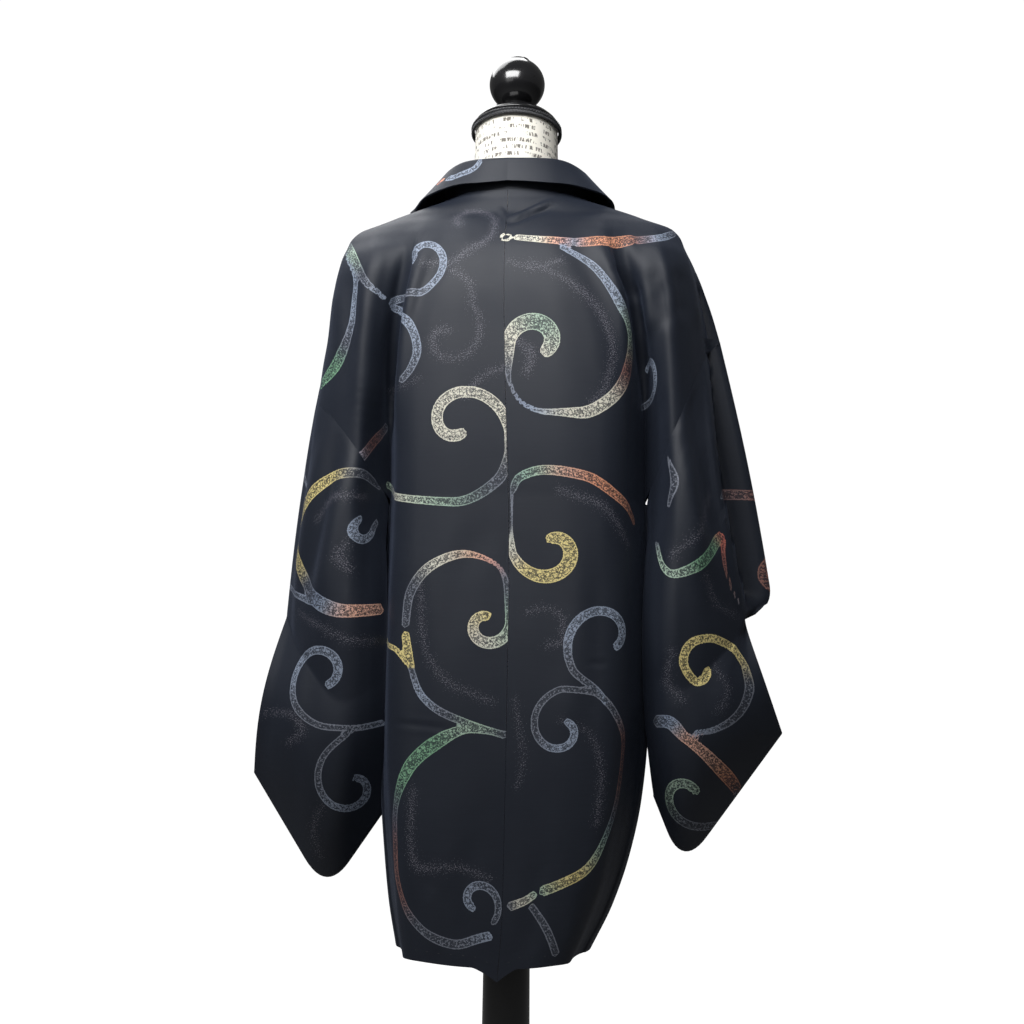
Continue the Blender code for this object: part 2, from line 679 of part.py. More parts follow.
outward_at = jacket.directions(list(jacket.pieces))
for piece, piece_faces in jacket.pieces.items():
    own_way = jacket.directions([piece])
    corners, wall_faces = wall(piece_faces, jacket.points, outward_at, own_way, underarms)
    solid(piece, corners, wall_faces, silk)

loft("collar", collar_rings(), silk)

# ---------------------------------------------------------------- form
SEGMENTS = 28
torso_rings = []
torso_heights = [row.z for row in TORSO]
for a, b in zip(TORSO, TORSO[1:]):
    if b.z - a.z > 0.04 and a.z < 1.40:
        torso_heights.append(0.5 * (a.z + b.z))
torso_heights.append(1.455)
for height in sorted(torso_heights):
    ring = []
    for i in range(SEGMENTS):
        ring.append(tilted(torso_point(height, 2.0 * math.pi * i / SEGMENTS), 1.43, 0.05))
    torso_rings.append(ring)
loft("form_torso", torso_rings, cotton)

trim_rings = []
for i in range(36):
    angle = 2.0 * math.pi * i / 36
    ring = []
    for k in range(6):
        turn = 2.0 * math.pi * k / 6
        radius = NECK_RADIUS + SEAM_GAP + 0.0022 + 0.0022 * math.cos(turn)
        height = NECK_TOP_Z - 0.0046 + 0.0042 * math.sin(turn)
        point = np.array([radius * math.cos(angle), radius * math.sin(angle), height])
        ring.append(tilted(point, 1.43, 0.05))
    trim_rings.append(ring)
loft("form_trim", trim_rings, braid, joined=True)

CAP_Z = NECK_TOP_Z + SEAM_GAP
cap_profile = [
    (0.0, CAP_Z),
    (0.0520, CAP_Z),
    (0.0535, CAP_Z + 0.0015),
    (0.0520, CAP_Z + 0.0040),
    (0.0400, CAP_Z + 0.0110),
    (0.0220, CAP_Z + 0.0165),
    (0.0110, CAP_Z + 0.0200),
    (0.0, CAP_Z + 0.0200),
]
cap = turned("form_cap", cap_profile, lacquer)
for vertex in cap.data.vertices:
    vertex.co.z += math.tan(NECK_TILT) * vertex.co.y

FINIAL_Z = CAP_Z + 0.0200 + SEAM_GAP
finial_profile = [(0.0, FINIAL_Z), (0.0105, FINIAL_Z), (0.0100, FINIAL_Z + 0.006), (0.0125, FINIAL_Z + 0.010)]
BALL_Z = FINIAL_Z + 0.0410
for i in range(1, 12):
    angle = math.radians(-64 + 128 * (i - 1) / 10)
    finial_profile.append((0.0345 * math.cos(angle), BALL_Z + 0.0305 * math.sin(angle)))
finial_profile += [(0.0135, BALL_Z + 0.0290), (0.0120, BALL_Z + 0.0305), (0.0, BALL_Z + 0.0305)]
finial = turned("form_finial", finial_profile, lacquer)
for vertex in finial.data.vertices:
    if vertex.co.z < FINIAL_Z + 0.003:
        vertex.co.z += math.tan(NECK_TILT) * vertex.co.y

disc_profile = [
    (0.0, TORSO_BOTTOM_Z - 0.0180),
    (0.0700, TORSO_BOTTOM_Z - 0.0180),
    (0.0740, TORSO_BOTTOM_Z - 0.0150),
    (0.0740, TORSO_BOTTOM_Z - 0.0020),
    (0.0720, TORSO_BOTTOM_Z - SEAM_GAP),
    (0.0, TORSO_BOTTOM_Z - SEAM_GAP),
]
turned("form_disc", disc_profile, lacquer)

# ---------------------------------------------------------------- stand
POLE_TOP = TORSO_BOTTOM_Z - 0.0180 - SEAM_GAP
POLE_BOTTOM = BASE_HEIGHT + SEAM_GAP
pole_profile = [(0.0, POLE_BOTTOM)]
for i in range(9):
    t = i / 8
    radius = POLE_BOTTOM_RADIUS + (POLE_TOP_RADIUS - POLE_BOTTOM_RADIUS) * t
    pole_profile.append((radius, POLE_BOTTOM + (POLE_TOP - POLE_BOTTOM) * t))
pole_profile.append((0.0, POLE_TOP))
turned("stand_pole", pole_profile, lacquer)

base_profile = [
    (0.0, 0.0),
    (BASE_RADIUS - 0.003, 0.0),
    (BASE_RADIUS, 0.003),
    (BASE_RADIUS, 0.014),
    (BASE_RADIUS - 0.004, 0.019),
    (BASE_RADIUS - 0.020, 0.024),
    (0.110, 0.032),
    (0.060, 0.041),
    (0.046, BASE_HEIGHT - 0.002),
    (0.042, BASE_HEIGHT),
    (0.0, BASE_HEIGHT),
]
turned("stand_base", base_profile, lacquer, segments=36)
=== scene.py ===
# A haori jacket on a limbless dress form with a turned stand: its looks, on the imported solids.
# Metres, +Z up. The form's chest faces -Y, its back +Y, and the wearer's left is +X.
import math

import bmesh
import bpy
import numpy as np
from mathutils import Matrix, Vector


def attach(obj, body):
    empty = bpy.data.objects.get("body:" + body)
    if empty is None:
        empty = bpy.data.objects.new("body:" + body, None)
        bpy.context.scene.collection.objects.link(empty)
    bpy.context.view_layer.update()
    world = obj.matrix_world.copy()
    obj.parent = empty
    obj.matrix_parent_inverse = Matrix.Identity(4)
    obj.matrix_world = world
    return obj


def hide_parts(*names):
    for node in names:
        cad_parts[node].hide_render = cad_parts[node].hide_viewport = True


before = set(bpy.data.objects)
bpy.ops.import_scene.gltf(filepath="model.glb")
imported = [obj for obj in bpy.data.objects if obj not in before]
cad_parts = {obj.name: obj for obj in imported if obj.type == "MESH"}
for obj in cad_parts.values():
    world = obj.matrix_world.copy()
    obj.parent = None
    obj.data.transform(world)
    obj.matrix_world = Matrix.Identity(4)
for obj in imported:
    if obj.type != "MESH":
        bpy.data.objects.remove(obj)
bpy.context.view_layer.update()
print("stage 1: the packed solids are in place")

# camera, floor and light
shot = {
    "lens": 52.7,  # mm
    "sensor": 36.0,
    "round": 185.0,  # degrees, 180 is straight behind the back
    "away": 1.85,
    "height": 0.81,
    "lookUp": 5.6,  # degrees
    "roll": 0.7,
}
room = {
    "floorColor": (0.30, 0.30, 0.30),
    "floorRoughness": 0.9,
    "floorWide": 60.0,  # from the middle to each side
    "floorSeen": 1.0,
    "worldColor": (1.0, 1.0, 1.0),
    "worldStrength": 0.11,
    "worldSeen": 1.03,
    "lights": {
        "keyLight": {"spot": (0.30, 1.03, 2.07), "aim": (0.02, 0.0, 1.28), "size": (1.1, 0.6), "watts": 33.0},
        "fillLight": {"spot": (1.2, 2.4, 1.9), "aim": (0.0, 0.0, 1.05), "size": (1.4, 1.4), "watts": 6.0},
        "topLight": {"spot": (0.5, -0.6, 2.5), "aim": (0.1, 0.0, 1.3), "size": (1.4, 1.0), "watts": 17.0},
    },
}


def shotMatrix():
    # where the camera stands and how it is turned
    turn, rise, roll = (math.radians(shot[key]) for key in ("round", "lookUp", "roll"))
    back = Vector((math.sin(turn), -math.cos(turn), 0.0))
    ahead = Vector((-back.x * math.cos(rise), -back.y * math.cos(rise), math.sin(rise)))
    facing = ahead.to_track_quat("-Z", "Y").to_matrix() @ Matrix.Rotation(roll, 3, "Z")
    spot = back * shot["away"] + Vector((0.0, 0.0, shot["height"]))
    return Matrix.Translation(spot) @ facing.to_4x4()


def placeCamera():
    data = bpy.data.cameras.new("camera")
    data.lens = shot["lens"]
    data.sensor_width = shot["sensor"]
    camera = bpy.data.objects.new("camera", data)
    bpy.context.scene.collection.objects.link(camera)
    camera.location = shotMatrix().to_translation()
    camera.rotation_euler = shotMatrix().to_euler()
    bpy.context.scene.camera = camera
    bpy.context.scene.view_settings.view_transform = "Standard"


def areaLight(name, spot, aim, size, watts):
    data = bpy.data.lights.new(name, "AREA")
    data.shape = "RECTANGLE"
    data.size, data.size_y = size
    data.energy = watts
    light = bpy.data.objects.new(name, data)
    bpy.context.scene.collection.objects.link(light)
    light.location = spot
    light.rotation_euler = (Vector(aim) - Vector(spot)).to_track_quat("-Z", "Y").to_euler()


class Graph:
    # places and joins the nodes of one tree in short lines
    def __init__(self, tree):
        self.tree = tree
        self.count = 0

    def add(self, kind, settings=None, **inputs):
        node = self.tree.nodes.new(kind if "Node" in kind else "ShaderNode" + kind)
        node.location = (180 * (self.count % 9), -220 * (self.count // 9))
        self.count += 1
        for key, value in (settings or {}).items():
            setattr(node, key, value)
        for key, value in inputs.items():
            self.feed(node, key, value)
        return node

    def feed(self, node, key, value):
        # i0, i1 and so on are sockets by number, and any other key is a socket's name
        numbered = key[0] == "i" and key[1:].isdigit()
        socket = node.inputs[int(key[1:]) if numbered else key.replace("_", " ")]
        if isinstance(value, bpy.types.NodeSocket):
            self.tree.links.new(value, socket)
        elif isinstance(value, bpy.types.Node):
            self.tree.links.new(value.outputs[0], socket)
        else:
            socket.default_value = value

    def math(self, operation, a, b=None, c=None, clamp=False):
        node = self.add("Math", {"operation": operation, "use_clamp": clamp}, i0=a)
        if b is not None:
            self.feed(node, "i1", b)
        if c is not None:
            self.feed(node, "i2", c)
        return node.outputs[0]

    def times(self, a, b):
        return self.math("MULTIPLY", a, b)

    def vector(self, operation, a, **inputs):
        return self.add("VectorMath", {"operation": operation}, i0=a, **inputs).outputs[0]

    def mix(self, share, a, b):
        return self.add("Mix", {"data_type": "RGBA"}, i0=share, i6=a, i7=b).outputs[2]

    def step(self, value, span, to=(0.0, 1.0)):
        ends = {"i1": span[0], "i2": span[1], "i3": to[0], "i4": to[1]}
        return self.add("MapRange", {"interpolation_type": "SMOOTHSTEP"}, i0=value, **ends).outputs[0]

    def noise(self, place, scale, detail=2.0):
        return self.add("TexNoise", Vector=place, Scale=scale, Detail=detail).outputs[0]

    def bump(self, body, strength, distance, height):
        made = self.add("Bump", Strength=strength, Distance=distance, Height=height)
        self.feed(body, "Normal", made)


def newGroup(name, inputs, outputs, kind="Shader"):
    tree = bpy.data.node_groups.new(name, kind + "NodeTree")
    for title, sort, value in inputs:
        socket = tree.interface.new_socket(title, in_out="INPUT", socket_type="NodeSocket" + sort)
        if value is not None:
            socket.default_value = value
    for title, sort in outputs:
        tree.interface.new_socket(title, in_out="OUTPUT", socket_type="NodeSocket" + sort)
    graph = Graph(tree)
    return tree, graph, graph.add("NodeGroupInput"), graph.add("NodeGroupOutput")


def newLook(name, **values):
    # a material, its shader with these values of its own, and the graph that its other nodes go in
    made = bpy.data.materials.new(name)
    made.use_nodes = True
    body = made.node_tree.nodes["Principled BSDF"]
    for title, value in values.items():
        body.inputs[title.replace("_", " ")].default_value = value
    return made, body, Graph(made.node_tree)


def buildRoom():
    world = bpy.data.worlds.new("paleRoom")
    world.use_nodes = True
    shade = world.node_tree.nodes["Background"]
    shade.inputs["Color"].default_value = (*room["worldColor"], 1.0)
    # the room lights the part less than it shows behind it
    g = Graph(world.node_tree)
    seen = g.add("LightPath").outputs["Is Camera Ray"]
    power = g.add("MapRange", Value=seen, To_Min=room["worldStrength"], To_Max=room["worldSeen"])
    g.feed(shade, "Strength", power)
    bpy.context.scene.world = world
    mesh = bpy.data.meshes.new("floor")
    wide = room["floorWide"]
    corners = [(-wide, -wide, 0), (wide, -wide, 0), (wide, wide, 0), (-wide, wide, 0)]
    mesh.from_pydata(corners, [], [(0, 1, 2, 3)])
    floor = bpy.data.objects.new("floor", mesh)
    bpy.context.scene.collection.objects.link(floor)
    paint, body, g = newLook(
        "floorPaint", Base_Color=(*room["floorColor"], 1.0), Roughness=room["floorRoughness"],
        Emission_Color=(1.0, 1.0, 1.0, 1.0),
    )
    seen = g.add("LightPath").outputs["Is Camera Ray"]
    g.feed(body, "Emission Strength", g.times(seen, room["floorSeen"]))
    mesh.materials.append(paint)
    for name, light in room["lights"].items():
        areaLight(name, **light)


placeCamera()
buildRoom()
print("stage 2: camera, floor and light")


def through(xs, ys, x):
    # value at x of the curve through the points that never swings past them
    xs = np.asarray(xs, dtype=float)
    ys = np.asarray(ys, dtype=float).reshape(len(xs), -1)
    x = np.clip(np.atleast_1d(np.asarray(x, dtype=float)), xs[0], xs[-1])
    rise = np.diff(ys, axis=0) / np.diff(xs)[:, None]
    slope = np.zeros_like(ys)
    slope[0], slope[-1] = rise[0], rise[-1]
    both = rise[:-1] * rise[1:]
    total = rise[:-1] + rise[1:]
    slope[1:-1] = np.where(both > 0.0, 2.0 * both / np.where(both > 0.0, total, 1.0), 0.0)
    i = np.clip(np.searchsorted(xs, x, side="left") - 1, 0, len(xs) - 2)
    step = (xs[i + 1] - xs[i])[:, None]
    t = (x[:, None] - xs[i][:, None]) / step
    low = (1 + 2 * t) * (1 - t) ** 2 * ys[i] + t * t * (3 - 2 * t) * ys[i + 1]
    return low + t * (1 - t) ** 2 * step * slope[i] - t * t * (1 - t) * step * slope[i + 1]


def ease(t):
    t = np.clip(t, 0.0, 1.0)
    return t * t * (3.0 - 2.0 * t)


# the dress form: height, half width, depth behind and depth before the middle
formLevels = np.array([
    (0.735, 0.128, 0.100, 0.092),
    (0.790, 0.138, 0.112, 0.098),
    (0.850, 0.136, 0.108, 0.096),
    (0.920, 0.122, 0.093, 0.088),
    (0.985, 0.114, 0.084, 0.084),
    (1.060, 0.122, 0.087, 0.097),
    (1.130, 0.140, 0.094, 0.110),
    (1.190, 0.164, 0.098, 0.104),
    (1.243, 0.188, 0.098, 0.090),
    (1.293, 0.200, 0.090, 0.074),
    (1.323, 0.201, 0.078, 0.062),
    (1.339, 0.191, 0.069, 0.055),
    (1.353, 0.162, 0.062, 0.050),
    (1.365, 0.128, 0.058, 0.048),
    (1.375, 0.098, 0.055, 0.047),
    (1.387, 0.073, 0.054, 0.047),
    (1.405, 0.058, 0.053, 0.049),
    (1.435, 0.053, 0.052, 0.052),
    (1.480, 0.052, 0.052, 0.052),
])
slopeSteps = (0.02, 0.002)  # radians round and metres up, to each side, over which its slope is taken


def formRing(z, angle):
    # points of the form at one height: angle 0 at the wearer's side, a quarter turn at the back
    half, back, front = through(formLevels[:, 0], formLevels[:, 1:], z)[0]
    depth = np.where(np.sin(angle) > 0.0, back, front)
    return np.stack([half * np.cos(angle), depth * np.sin(angle), np.full_like(angle, z)], axis=-1)


def overForm(z, angle, away):
    # points this far off the form's surface
    turn, rise = slopeSteps
    across = formRing(z, angle + turn) - formRing(z, angle - turn)
    up = formRing(z + rise, angle) - formRing(z - rise, angle)
    out = np.cross(across, up)
    out /= np.linalg.norm(out, axis=-1, keepdims=True)
    return formRing(z, angle) + out * away


# the jacket's outside
jacket = {
    "onShoulders": 0.0026,  # the cloth's outside above the form
    "hemZ": 0.467,
    "underarmZ": 1.000,
    "slit": 0.0045,  # the sleeve's inner edge starts this far out
    "swayAtHem": 0.009,
    # how far the centre back seam strays sideways, by height
    "seamStray": np.array([
        (0.459, -0.008), (0.530, -0.012), (0.650, -0.011), (0.769, -0.010), (0.936, -0.008), (1.126, -0.001),
        (1.250, 0.003), (1.383, 0.005),
    ]),
    "strayReach": 0.40,  # places across, as for the two below
    "hemDrop": 0.005,
    "hemReach": 0.40,
    "seamDrop": 0.015,
    "seamReach": 0.09,
    "sewnEdge": 0.008,
    "allowance": (0.0080, 0.0016),  # the gore's: places across, and how far under
    "goreColumns": 12,
    "goreSwell": 0.10,  # of its width
    "mouthDepth": 0.040,
    "sleeveSwell": 0.020,
    "underLap": 0.026,  # how far the back layer's free edge stands behind the body's side
    "notchReach": 0.090,
    "foldReach": 0.010,  # the soft shoulder fold
    "foldSwell": 0.0032,
    "cornerRadius": 0.046,
    "ridgeY": -0.010,
    "shoulderEndZ": 1.340,
    "flareDepth": 0.160,
    "pit": 0.55,  # place across of the deep fold beside the back
    "yokeRows": 66,
    "armholeRows": 48,
    "skirtRows": 168,
    "panelColumns": 54,
    "drapeColumns": 30,
    "sleeveRows": 112,
    "wristShare": 8 / 14,  # of the sleeve's outer line
    "stripDrop": 0.0015,
    "frontStart": 0.08,  # where the front's own map starts
}
# height, back, front, edge, pitX, pitY, peakX, peakY, reach, free
yokeLevels = np.array([
    (1.383, 0.060, 0.052, 0.0840, 0.060, 0.055, 0.070, 0.045, 0.082, 0.00),
    (1.380, 0.061, 0.053, 0.0850, 0.065, 0.056, 0.075, 0.047, 0.090, 0.00),
    (1.375, 0.063, 0.054, 0.0855, 0.072, 0.058, 0.085, 0.050, 0.102, 0.00),
    (1.365, 0.067, 0.058, 0.0860, 0.086, 0.061, 0.105, 0.055, 0.132, 0.00),
    (1.353, 0.073, 0.064, 0.0860, 0.102, 0.066, 0.130, 0.062, 0.166, 0.00),
    (1.339, 0.082, 0.072, 0.0855, 0.114, 0.072, 0.150, 0.070, 0.207, 0.35),
    (1.323, 0.091, 0.082, 0.0850, 0.124, 0.078, 0.160, 0.078, 0.212, 0.60),
    (1.300, 0.100, 0.094, 0.0845, 0.134, 0.081, 0.170, 0.085, 0.217, 0.90),
    (1.272, 0.107, 0.104, 0.0840, 0.142, 0.078, 0.176, 0.088, 0.221, 1.00),
    (1.240, 0.112, 0.113, 0.0835, 0.148, 0.071, 0.180, 0.088, 0.226, 1.00),
    (1.200, 0.115, 0.121, 0.0830, 0.152, 0.060, 0.183, 0.087, 0.230, 1.00),
    (1.150, 0.118, 0.128, 0.0820, 0.155, 0.042, 0.186, 0.085, 0.236, 1.00),
    (1.100, 0.120, 0.131, 0.0810, 0.157, 0.028, 0.188, 0.083, 0.243, 1.00),
    (1.050, 0.121, 0.132, 0.0800, 0.157, 0.018, 0.189, 0.080, 0.249, 1.00),
    (1.000, 0.121, 0.133, 0.0790, 0.157, 0.011, 0.190, 0.076, 0.255, 1.00),
])
# height, back, front, edge, left, right, gusset, wave
skirtLevels = np.array([
    (1.000, 0.121, 0.133, 0.0790, 0.150, 0.164, 0.022, 0.000),
    (0.940, 0.123, 0.135, 0.0780, 0.151, 0.166, 0.026, 0.004),
    (0.880, 0.126, 0.137, 0.0770, 0.152, 0.167, 0.030, 0.007),
    (0.820, 0.129, 0.139, 0.0760, 0.152, 0.168, 0.035, 0.010),
    (0.760, 0.130, 0.140, 0.0750, 0.151, 0.167, 0.040, 0.012),
    (0.700, 0.129, 0.140, 0.0740, 0.149, 0.164, 0.045, 0.014),
    (0.640, 0.127, 0.138, 0.0730, 0.145, 0.158, 0.050, 0.015),
    (0.580, 0.124, 0.134, 0.0720, 0.138, 0.146, 0.055, 0.015),
    (0.520, 0.120, 0.128, 0.0700, 0.129, 0.127, 0.060, 0.014),
    (0.467, 0.116, 0.120, 0.0680, 0.117, 0.102, 0.065, 0.012),
])
# the points are x from the middle and z
leftSide = {
    "name": "left", "sign": 1, "spread": 0.955, "flare": 0.010, "notch": None, "lap": None, "top": 1.151,
    "wrist": (0.281, 0.860), "mouth": (0.314, 0.668), "tip": (0.222, 0.526), "inner": (0.155, 0.624),
}
rightSide = {
    "name": "right", "sign": -1, "spread": 1.045, "flare": 0.030, "top": 1.206,
    "notch": (0.903, 0.865, 0.036),  # below the wrist: from and to this height, and how deep
    "lap": np.array([
        (0.868, 0.284), (0.886, 0.281), (1.031, 0.2527), (1.192, 0.237), (1.293, 0.222), (1.330, 0.216),
    ]),
    "wrist": (0.318, 0.882), "mouth": (0.328, 0.727), "tip": (0.211, 0.566), "inner": (0.177, 0.650),
}


def bendsAt(side, z):
    # the bends of one level of the cloth: place across, distance out, distance back
    pit = jacket["pit"]
    if z >= jacket["underarmZ"]:
        row = through(-yokeLevels[:, 0], yokeLevels[:, 1:], -z)[0]
        back, front, edge, pitX, pitY, peakX, peakY, reach = row[:8]
        pitX *= side["spread"]
        peakX *= side["spread"]
        wave = 0.0
    else:
        back, front, edge, left, right, gusset, wave = through(-skirtLevels[:, 0], skirtLevels[:, 1:], -z)[0]
        pitX = left if side["sign"] > 0 else right
        pitY = gusset / 2
        peakX = pitX + 0.033
        peakY = 0.076
        reach = pitX + 0.100
    flare = side["flare"] * min(1.0, max(0.0, jacket["shoulderEndZ"] - z) / jacket["flareDepth"])
    fold = reach + flare
    return np.array([
        (0.00, 0.0, back),
        (0.14, 0.36 * pitX, back + 0.001),
        (0.28, 0.67 * pitX, 0.95 * back),
        (0.38, 0.85 * pitX, 0.76 * back + 0.24 * pitY),
        (0.47, pitX - 0.011, 0.34 * back + 0.66 * pitY),
        (pit, pitX, pitY),
        (0.62, pitX + 0.46 * (peakX - pitX), pitY + 0.50 * (peakY - pitY)),
        (0.72, peakX, peakY),
        (0.84, 0.5 * (peakX + reach), 0.80 * peakY),
        (0.92, reach - 0.002, 0.42 * peakY),
        (0.96, reach + 0.25 * flare, 0.12 * peakY),
        (1.00, fold, jacket["ridgeY"]),
        (1.05, fold - 0.008, -0.40 * peakY),
        (1.16, 0.5 * (peakX + reach), -0.78 * peakY),
        (1.28, peakX, -0.88 * peakY),
        (1.38, pitX + 0.46 * (peakX - pitX), -pitY - 0.44 * (peakY - pitY)),
        (2.0 - pit, pitX, -pitY),
        (1.53, pitX - 0.009 - 0.1 * wave, -0.42 * front - 0.58 * pitY),
        (1.62, 0.93 * pitX, -0.80 * front - 0.20 * pitY + 0.3 * wave),
        (1.73, 0.36 * edge + 0.57 * pitX, -0.98 * front - 0.5 * wave),
        (1.86, 0.74 * edge + 0.23 * pitX, -front + 0.8 * wave),
        (2.00, edge, -front - 0.2 * wave),
    ])


def skinRow(side, z, across):
    # points of the jacket's outside at one height. across: 0 centre back, 1 shoulder fold, 2 the front's edge
    across = np.atleast_1d(np.asarray(across, dtype=float))
    bends = bendsAt(side, z)
    points = np.empty((len(across), 3))
    points[:, :2] = through(bends[:, 0], bends[:, 1:], across)
    points[:, 2] = z
    if z > jacket["underarmZ"]:
        row = through(-yokeLevels[:, 0], yokeLevels[:, 1:], -z)[0]
        edge, free = row[2], row[8]
        if free < 1.0:
            half = through(formLevels[:, 0], formLevels[:, 1:], z)[0][0]
            last = math.acos(min(1.0, edge / (half + 0.004)))
            angle = np.where(across <= 1.0, 0.5 * math.pi * (1.0 - across), -last * (across - 1.0))
            resting = overForm(z, angle, jacket["onShoulders"])
            points = resting + free * (points - resting)
    low = max(0.0, (jacket["underarmZ"] - z) / (jacket["underarmZ"] - jacket["hemZ"]))
    reach = jacket["hemReach"]
    dip = np.where(across < reach, np.cos(0.5 * math.pi * np.minimum(across, reach) / reach) ** 2, 0.0)
    points[:, 2] -= jacket["hemDrop"] * low ** 3 * dip
    points[:, 2] -= jacket["seamDrop"] * low ** 9 * np.maximum(0.0, 1.0 - across / jacket["seamReach"]) ** 1.3
    points[:, 0] = side["sign"] * points[:, 0] + jacket["swayAtHem"] * low * low
    stray = through(jacket["seamStray"][:, 0], jacket["seamStray"][:, 1], z)[0][0]
    points[:, 0] += stray * (1.0 - ease(across / jacket["strayReach"]))
    return points


def yokeHeights(side):
    # closest together where the cloth turns over the shoulder
    fixed = list(yokeLevels[:8, 0])
    fixed += [fixed[-1] + (side["top"] - fixed[-1]) * t for t in (0.25, 0.50, 0.75, 1.00)]
    spots = np.linspace(0, len(fixed) - 1, jacket["yokeRows"] + 1)
    return np.interp(spots, np.arange(len(fixed)), fixed)


def armholeAt(side, share):
    # height and place across of the armhole's seam, from its top to the underarm
    pit = jacket["pit"]
    return side["top"] + (jacket["underarmZ"] - side["top"]) * share, pit + (1.0 - pit) * (1.0 - share)


def skirtHeight(k):
    return jacket["underarmZ"] + (jacket["hemZ"] - jacket["underarmZ"]) * k / jacket["skirtRows"]


def bodyRows(side, front):
    pit, panel, drape = jacket["pit"], jacket["panelColumns"], jacket["drapeColumns"]
    inner = [pit * i / panel for i in range(panel + 1)]
    rows = []

    def addRow(z, places):
        places = np.array(places)
        rows.append(skinRow(side, z, 2.0 - places if front else places))

    for z in yokeHeights(side):
        addRow(z, inner + [pit + (1.0 - pit) * i / drape for i in range(1, drape + 1)])
    for k in range(1, jacket["armholeRows"] + 1):
        z, seam = armholeAt(side, k / jacket["armholeRows"])
        outer = [pit + (seam - pit) * i / drape for i in range(1, drape + 1)]
        addRow(z, inner + (outer if k < jacket["armholeRows"] else []))
    for k in range(1, jacket["skirtRows"] + 1):
        addRow(skirtHeight(k), inner)
    return rows


def gussetRows(side):
    # its two allowances are turned in under the body's sides
    pit = jacket["pit"]
    reach, under = jacket["allowance"]
    rows = []
    for k in range(jacket["skirtRows"] + 1):
        z = skirtHeight(k)
        back, front = skinRow(side, z, [pit, 2.0 - pit])
        wide = abs(back[1] - front[1])
        row = []
        for t in np.linspace(0.04, 0.96, jacket["goreColumns"]):
            point = back + (front - back) * t
            point[0] += side["sign"] * jacket["goreSwell"] * wide * math.sin(math.pi * t)
            row.append(point)
        ends = []
        for centre, way in ((pit, -1.0), (2.0 - pit, 1.0)):
            seam, near, far = skinRow(side, z, [centre, centre + way * 0.45 * reach, centre + way * reach])
            along = (seam - far) / np.linalg.norm(seam - far)
            out = side["sign"] * np.array([abs(along[1]), -along[0] * np.sign(along[1]), 0.0])
            ends.append([seam - out * 0.8 * under, near - out * under, far - out * under])
        rows.append(np.array(ends[0][::-1] + row + ends[1]))
    return rows


def lowerOutline(side, count):
    # the sleeve's sewn lower outline, from its inner end by the rounded corner to the mouth
    inner, tip, mouth = (np.array(side[key]) for key in ("inner", "tip", "mouth"))
    start = tip + (inner - tip) / np.linalg.norm(inner - tip) * jacket["cornerRadius"]
    end = tip + (mouth - tip) / np.linalg.norm(mouth - tip) * jacket["cornerRadius"]
    line = []
    for t in np.linspace(0.0, 12.0, count):
        if t <= 3.0:
            line.append(inner + (start - inner) * t / 3)
        elif t < 6.0:
            s = (t - 3.0) / 3.0
            line.append((1 - s) ** 2 * start + 2 * s * (1 - s) * tip + s * s * end)
        else:
            line.append(end + (mouth - end) * (t - 6.0) / 6)
    return np.array(line)


def outerLine(side, share, facing):
    # the sleeve's outer line: the shoulder fold as far as the wrist, then the open mouth
    sign = side["sign"]
    fold = skinRow(side, side["top"], 1.0)[0]
    wrist = np.array([sign * side["wrist"][0], jacket["ridgeY"], side["wrist"][1]])
    mouth = np.array([sign * side["mouth"][0], facing * jacket["sewnEdge"] / 2, side["mouth"][1]])
    if share <= jacket["wristShare"]:
        t = share / jacket["wristShare"]
        point = fold + (wrist - fold) * t
        point[0] += sign * 0.004 * math.sin(math.pi * t)
        return point
    t = (share - jacket["wristShare"]) / (1.0 - jacket["wristShare"])
    point = wrist + (mouth - wrist) * t
    point[1] += facing * jacket["mouthDepth"] * math.sin(math.pi * t)
    return point


def notched(side, row):
    # below the wrist the edge steps in round a soft corner, and comes out again down to the mouth's end
    if side["notch"] is None:
        return row
    high, low, deep = side["notch"]
    fold = skinRow(side, side["top"], 1.0)[0]
    ends = np.array([side["mouth"], side["wrist"], (abs(fold[0]), side["top"])])
    z = row[:, 2]
    edge = np.interp(z, ends[:, 1], ends[:, 0])
    band = np.interp(z, [ends[0, 1], low, high], [jacket["notchReach"], deep, deep])
    turned = np.clip((high - z) / (high - low), 0.0, 1.0)
    back = np.clip((low - z) / (low - ends[0, 1]), 0.0, 1.0)
    step = deep * (1.0 - np.sqrt(1.0 - turned ** 2)) * (1.0 - back ** 1.3)
    near = np.clip((np.abs(row[:, 0]) - edge + band) / band, 0.0, 1.0)
    row[:, 0] -= side["sign"] * step * near
    return row


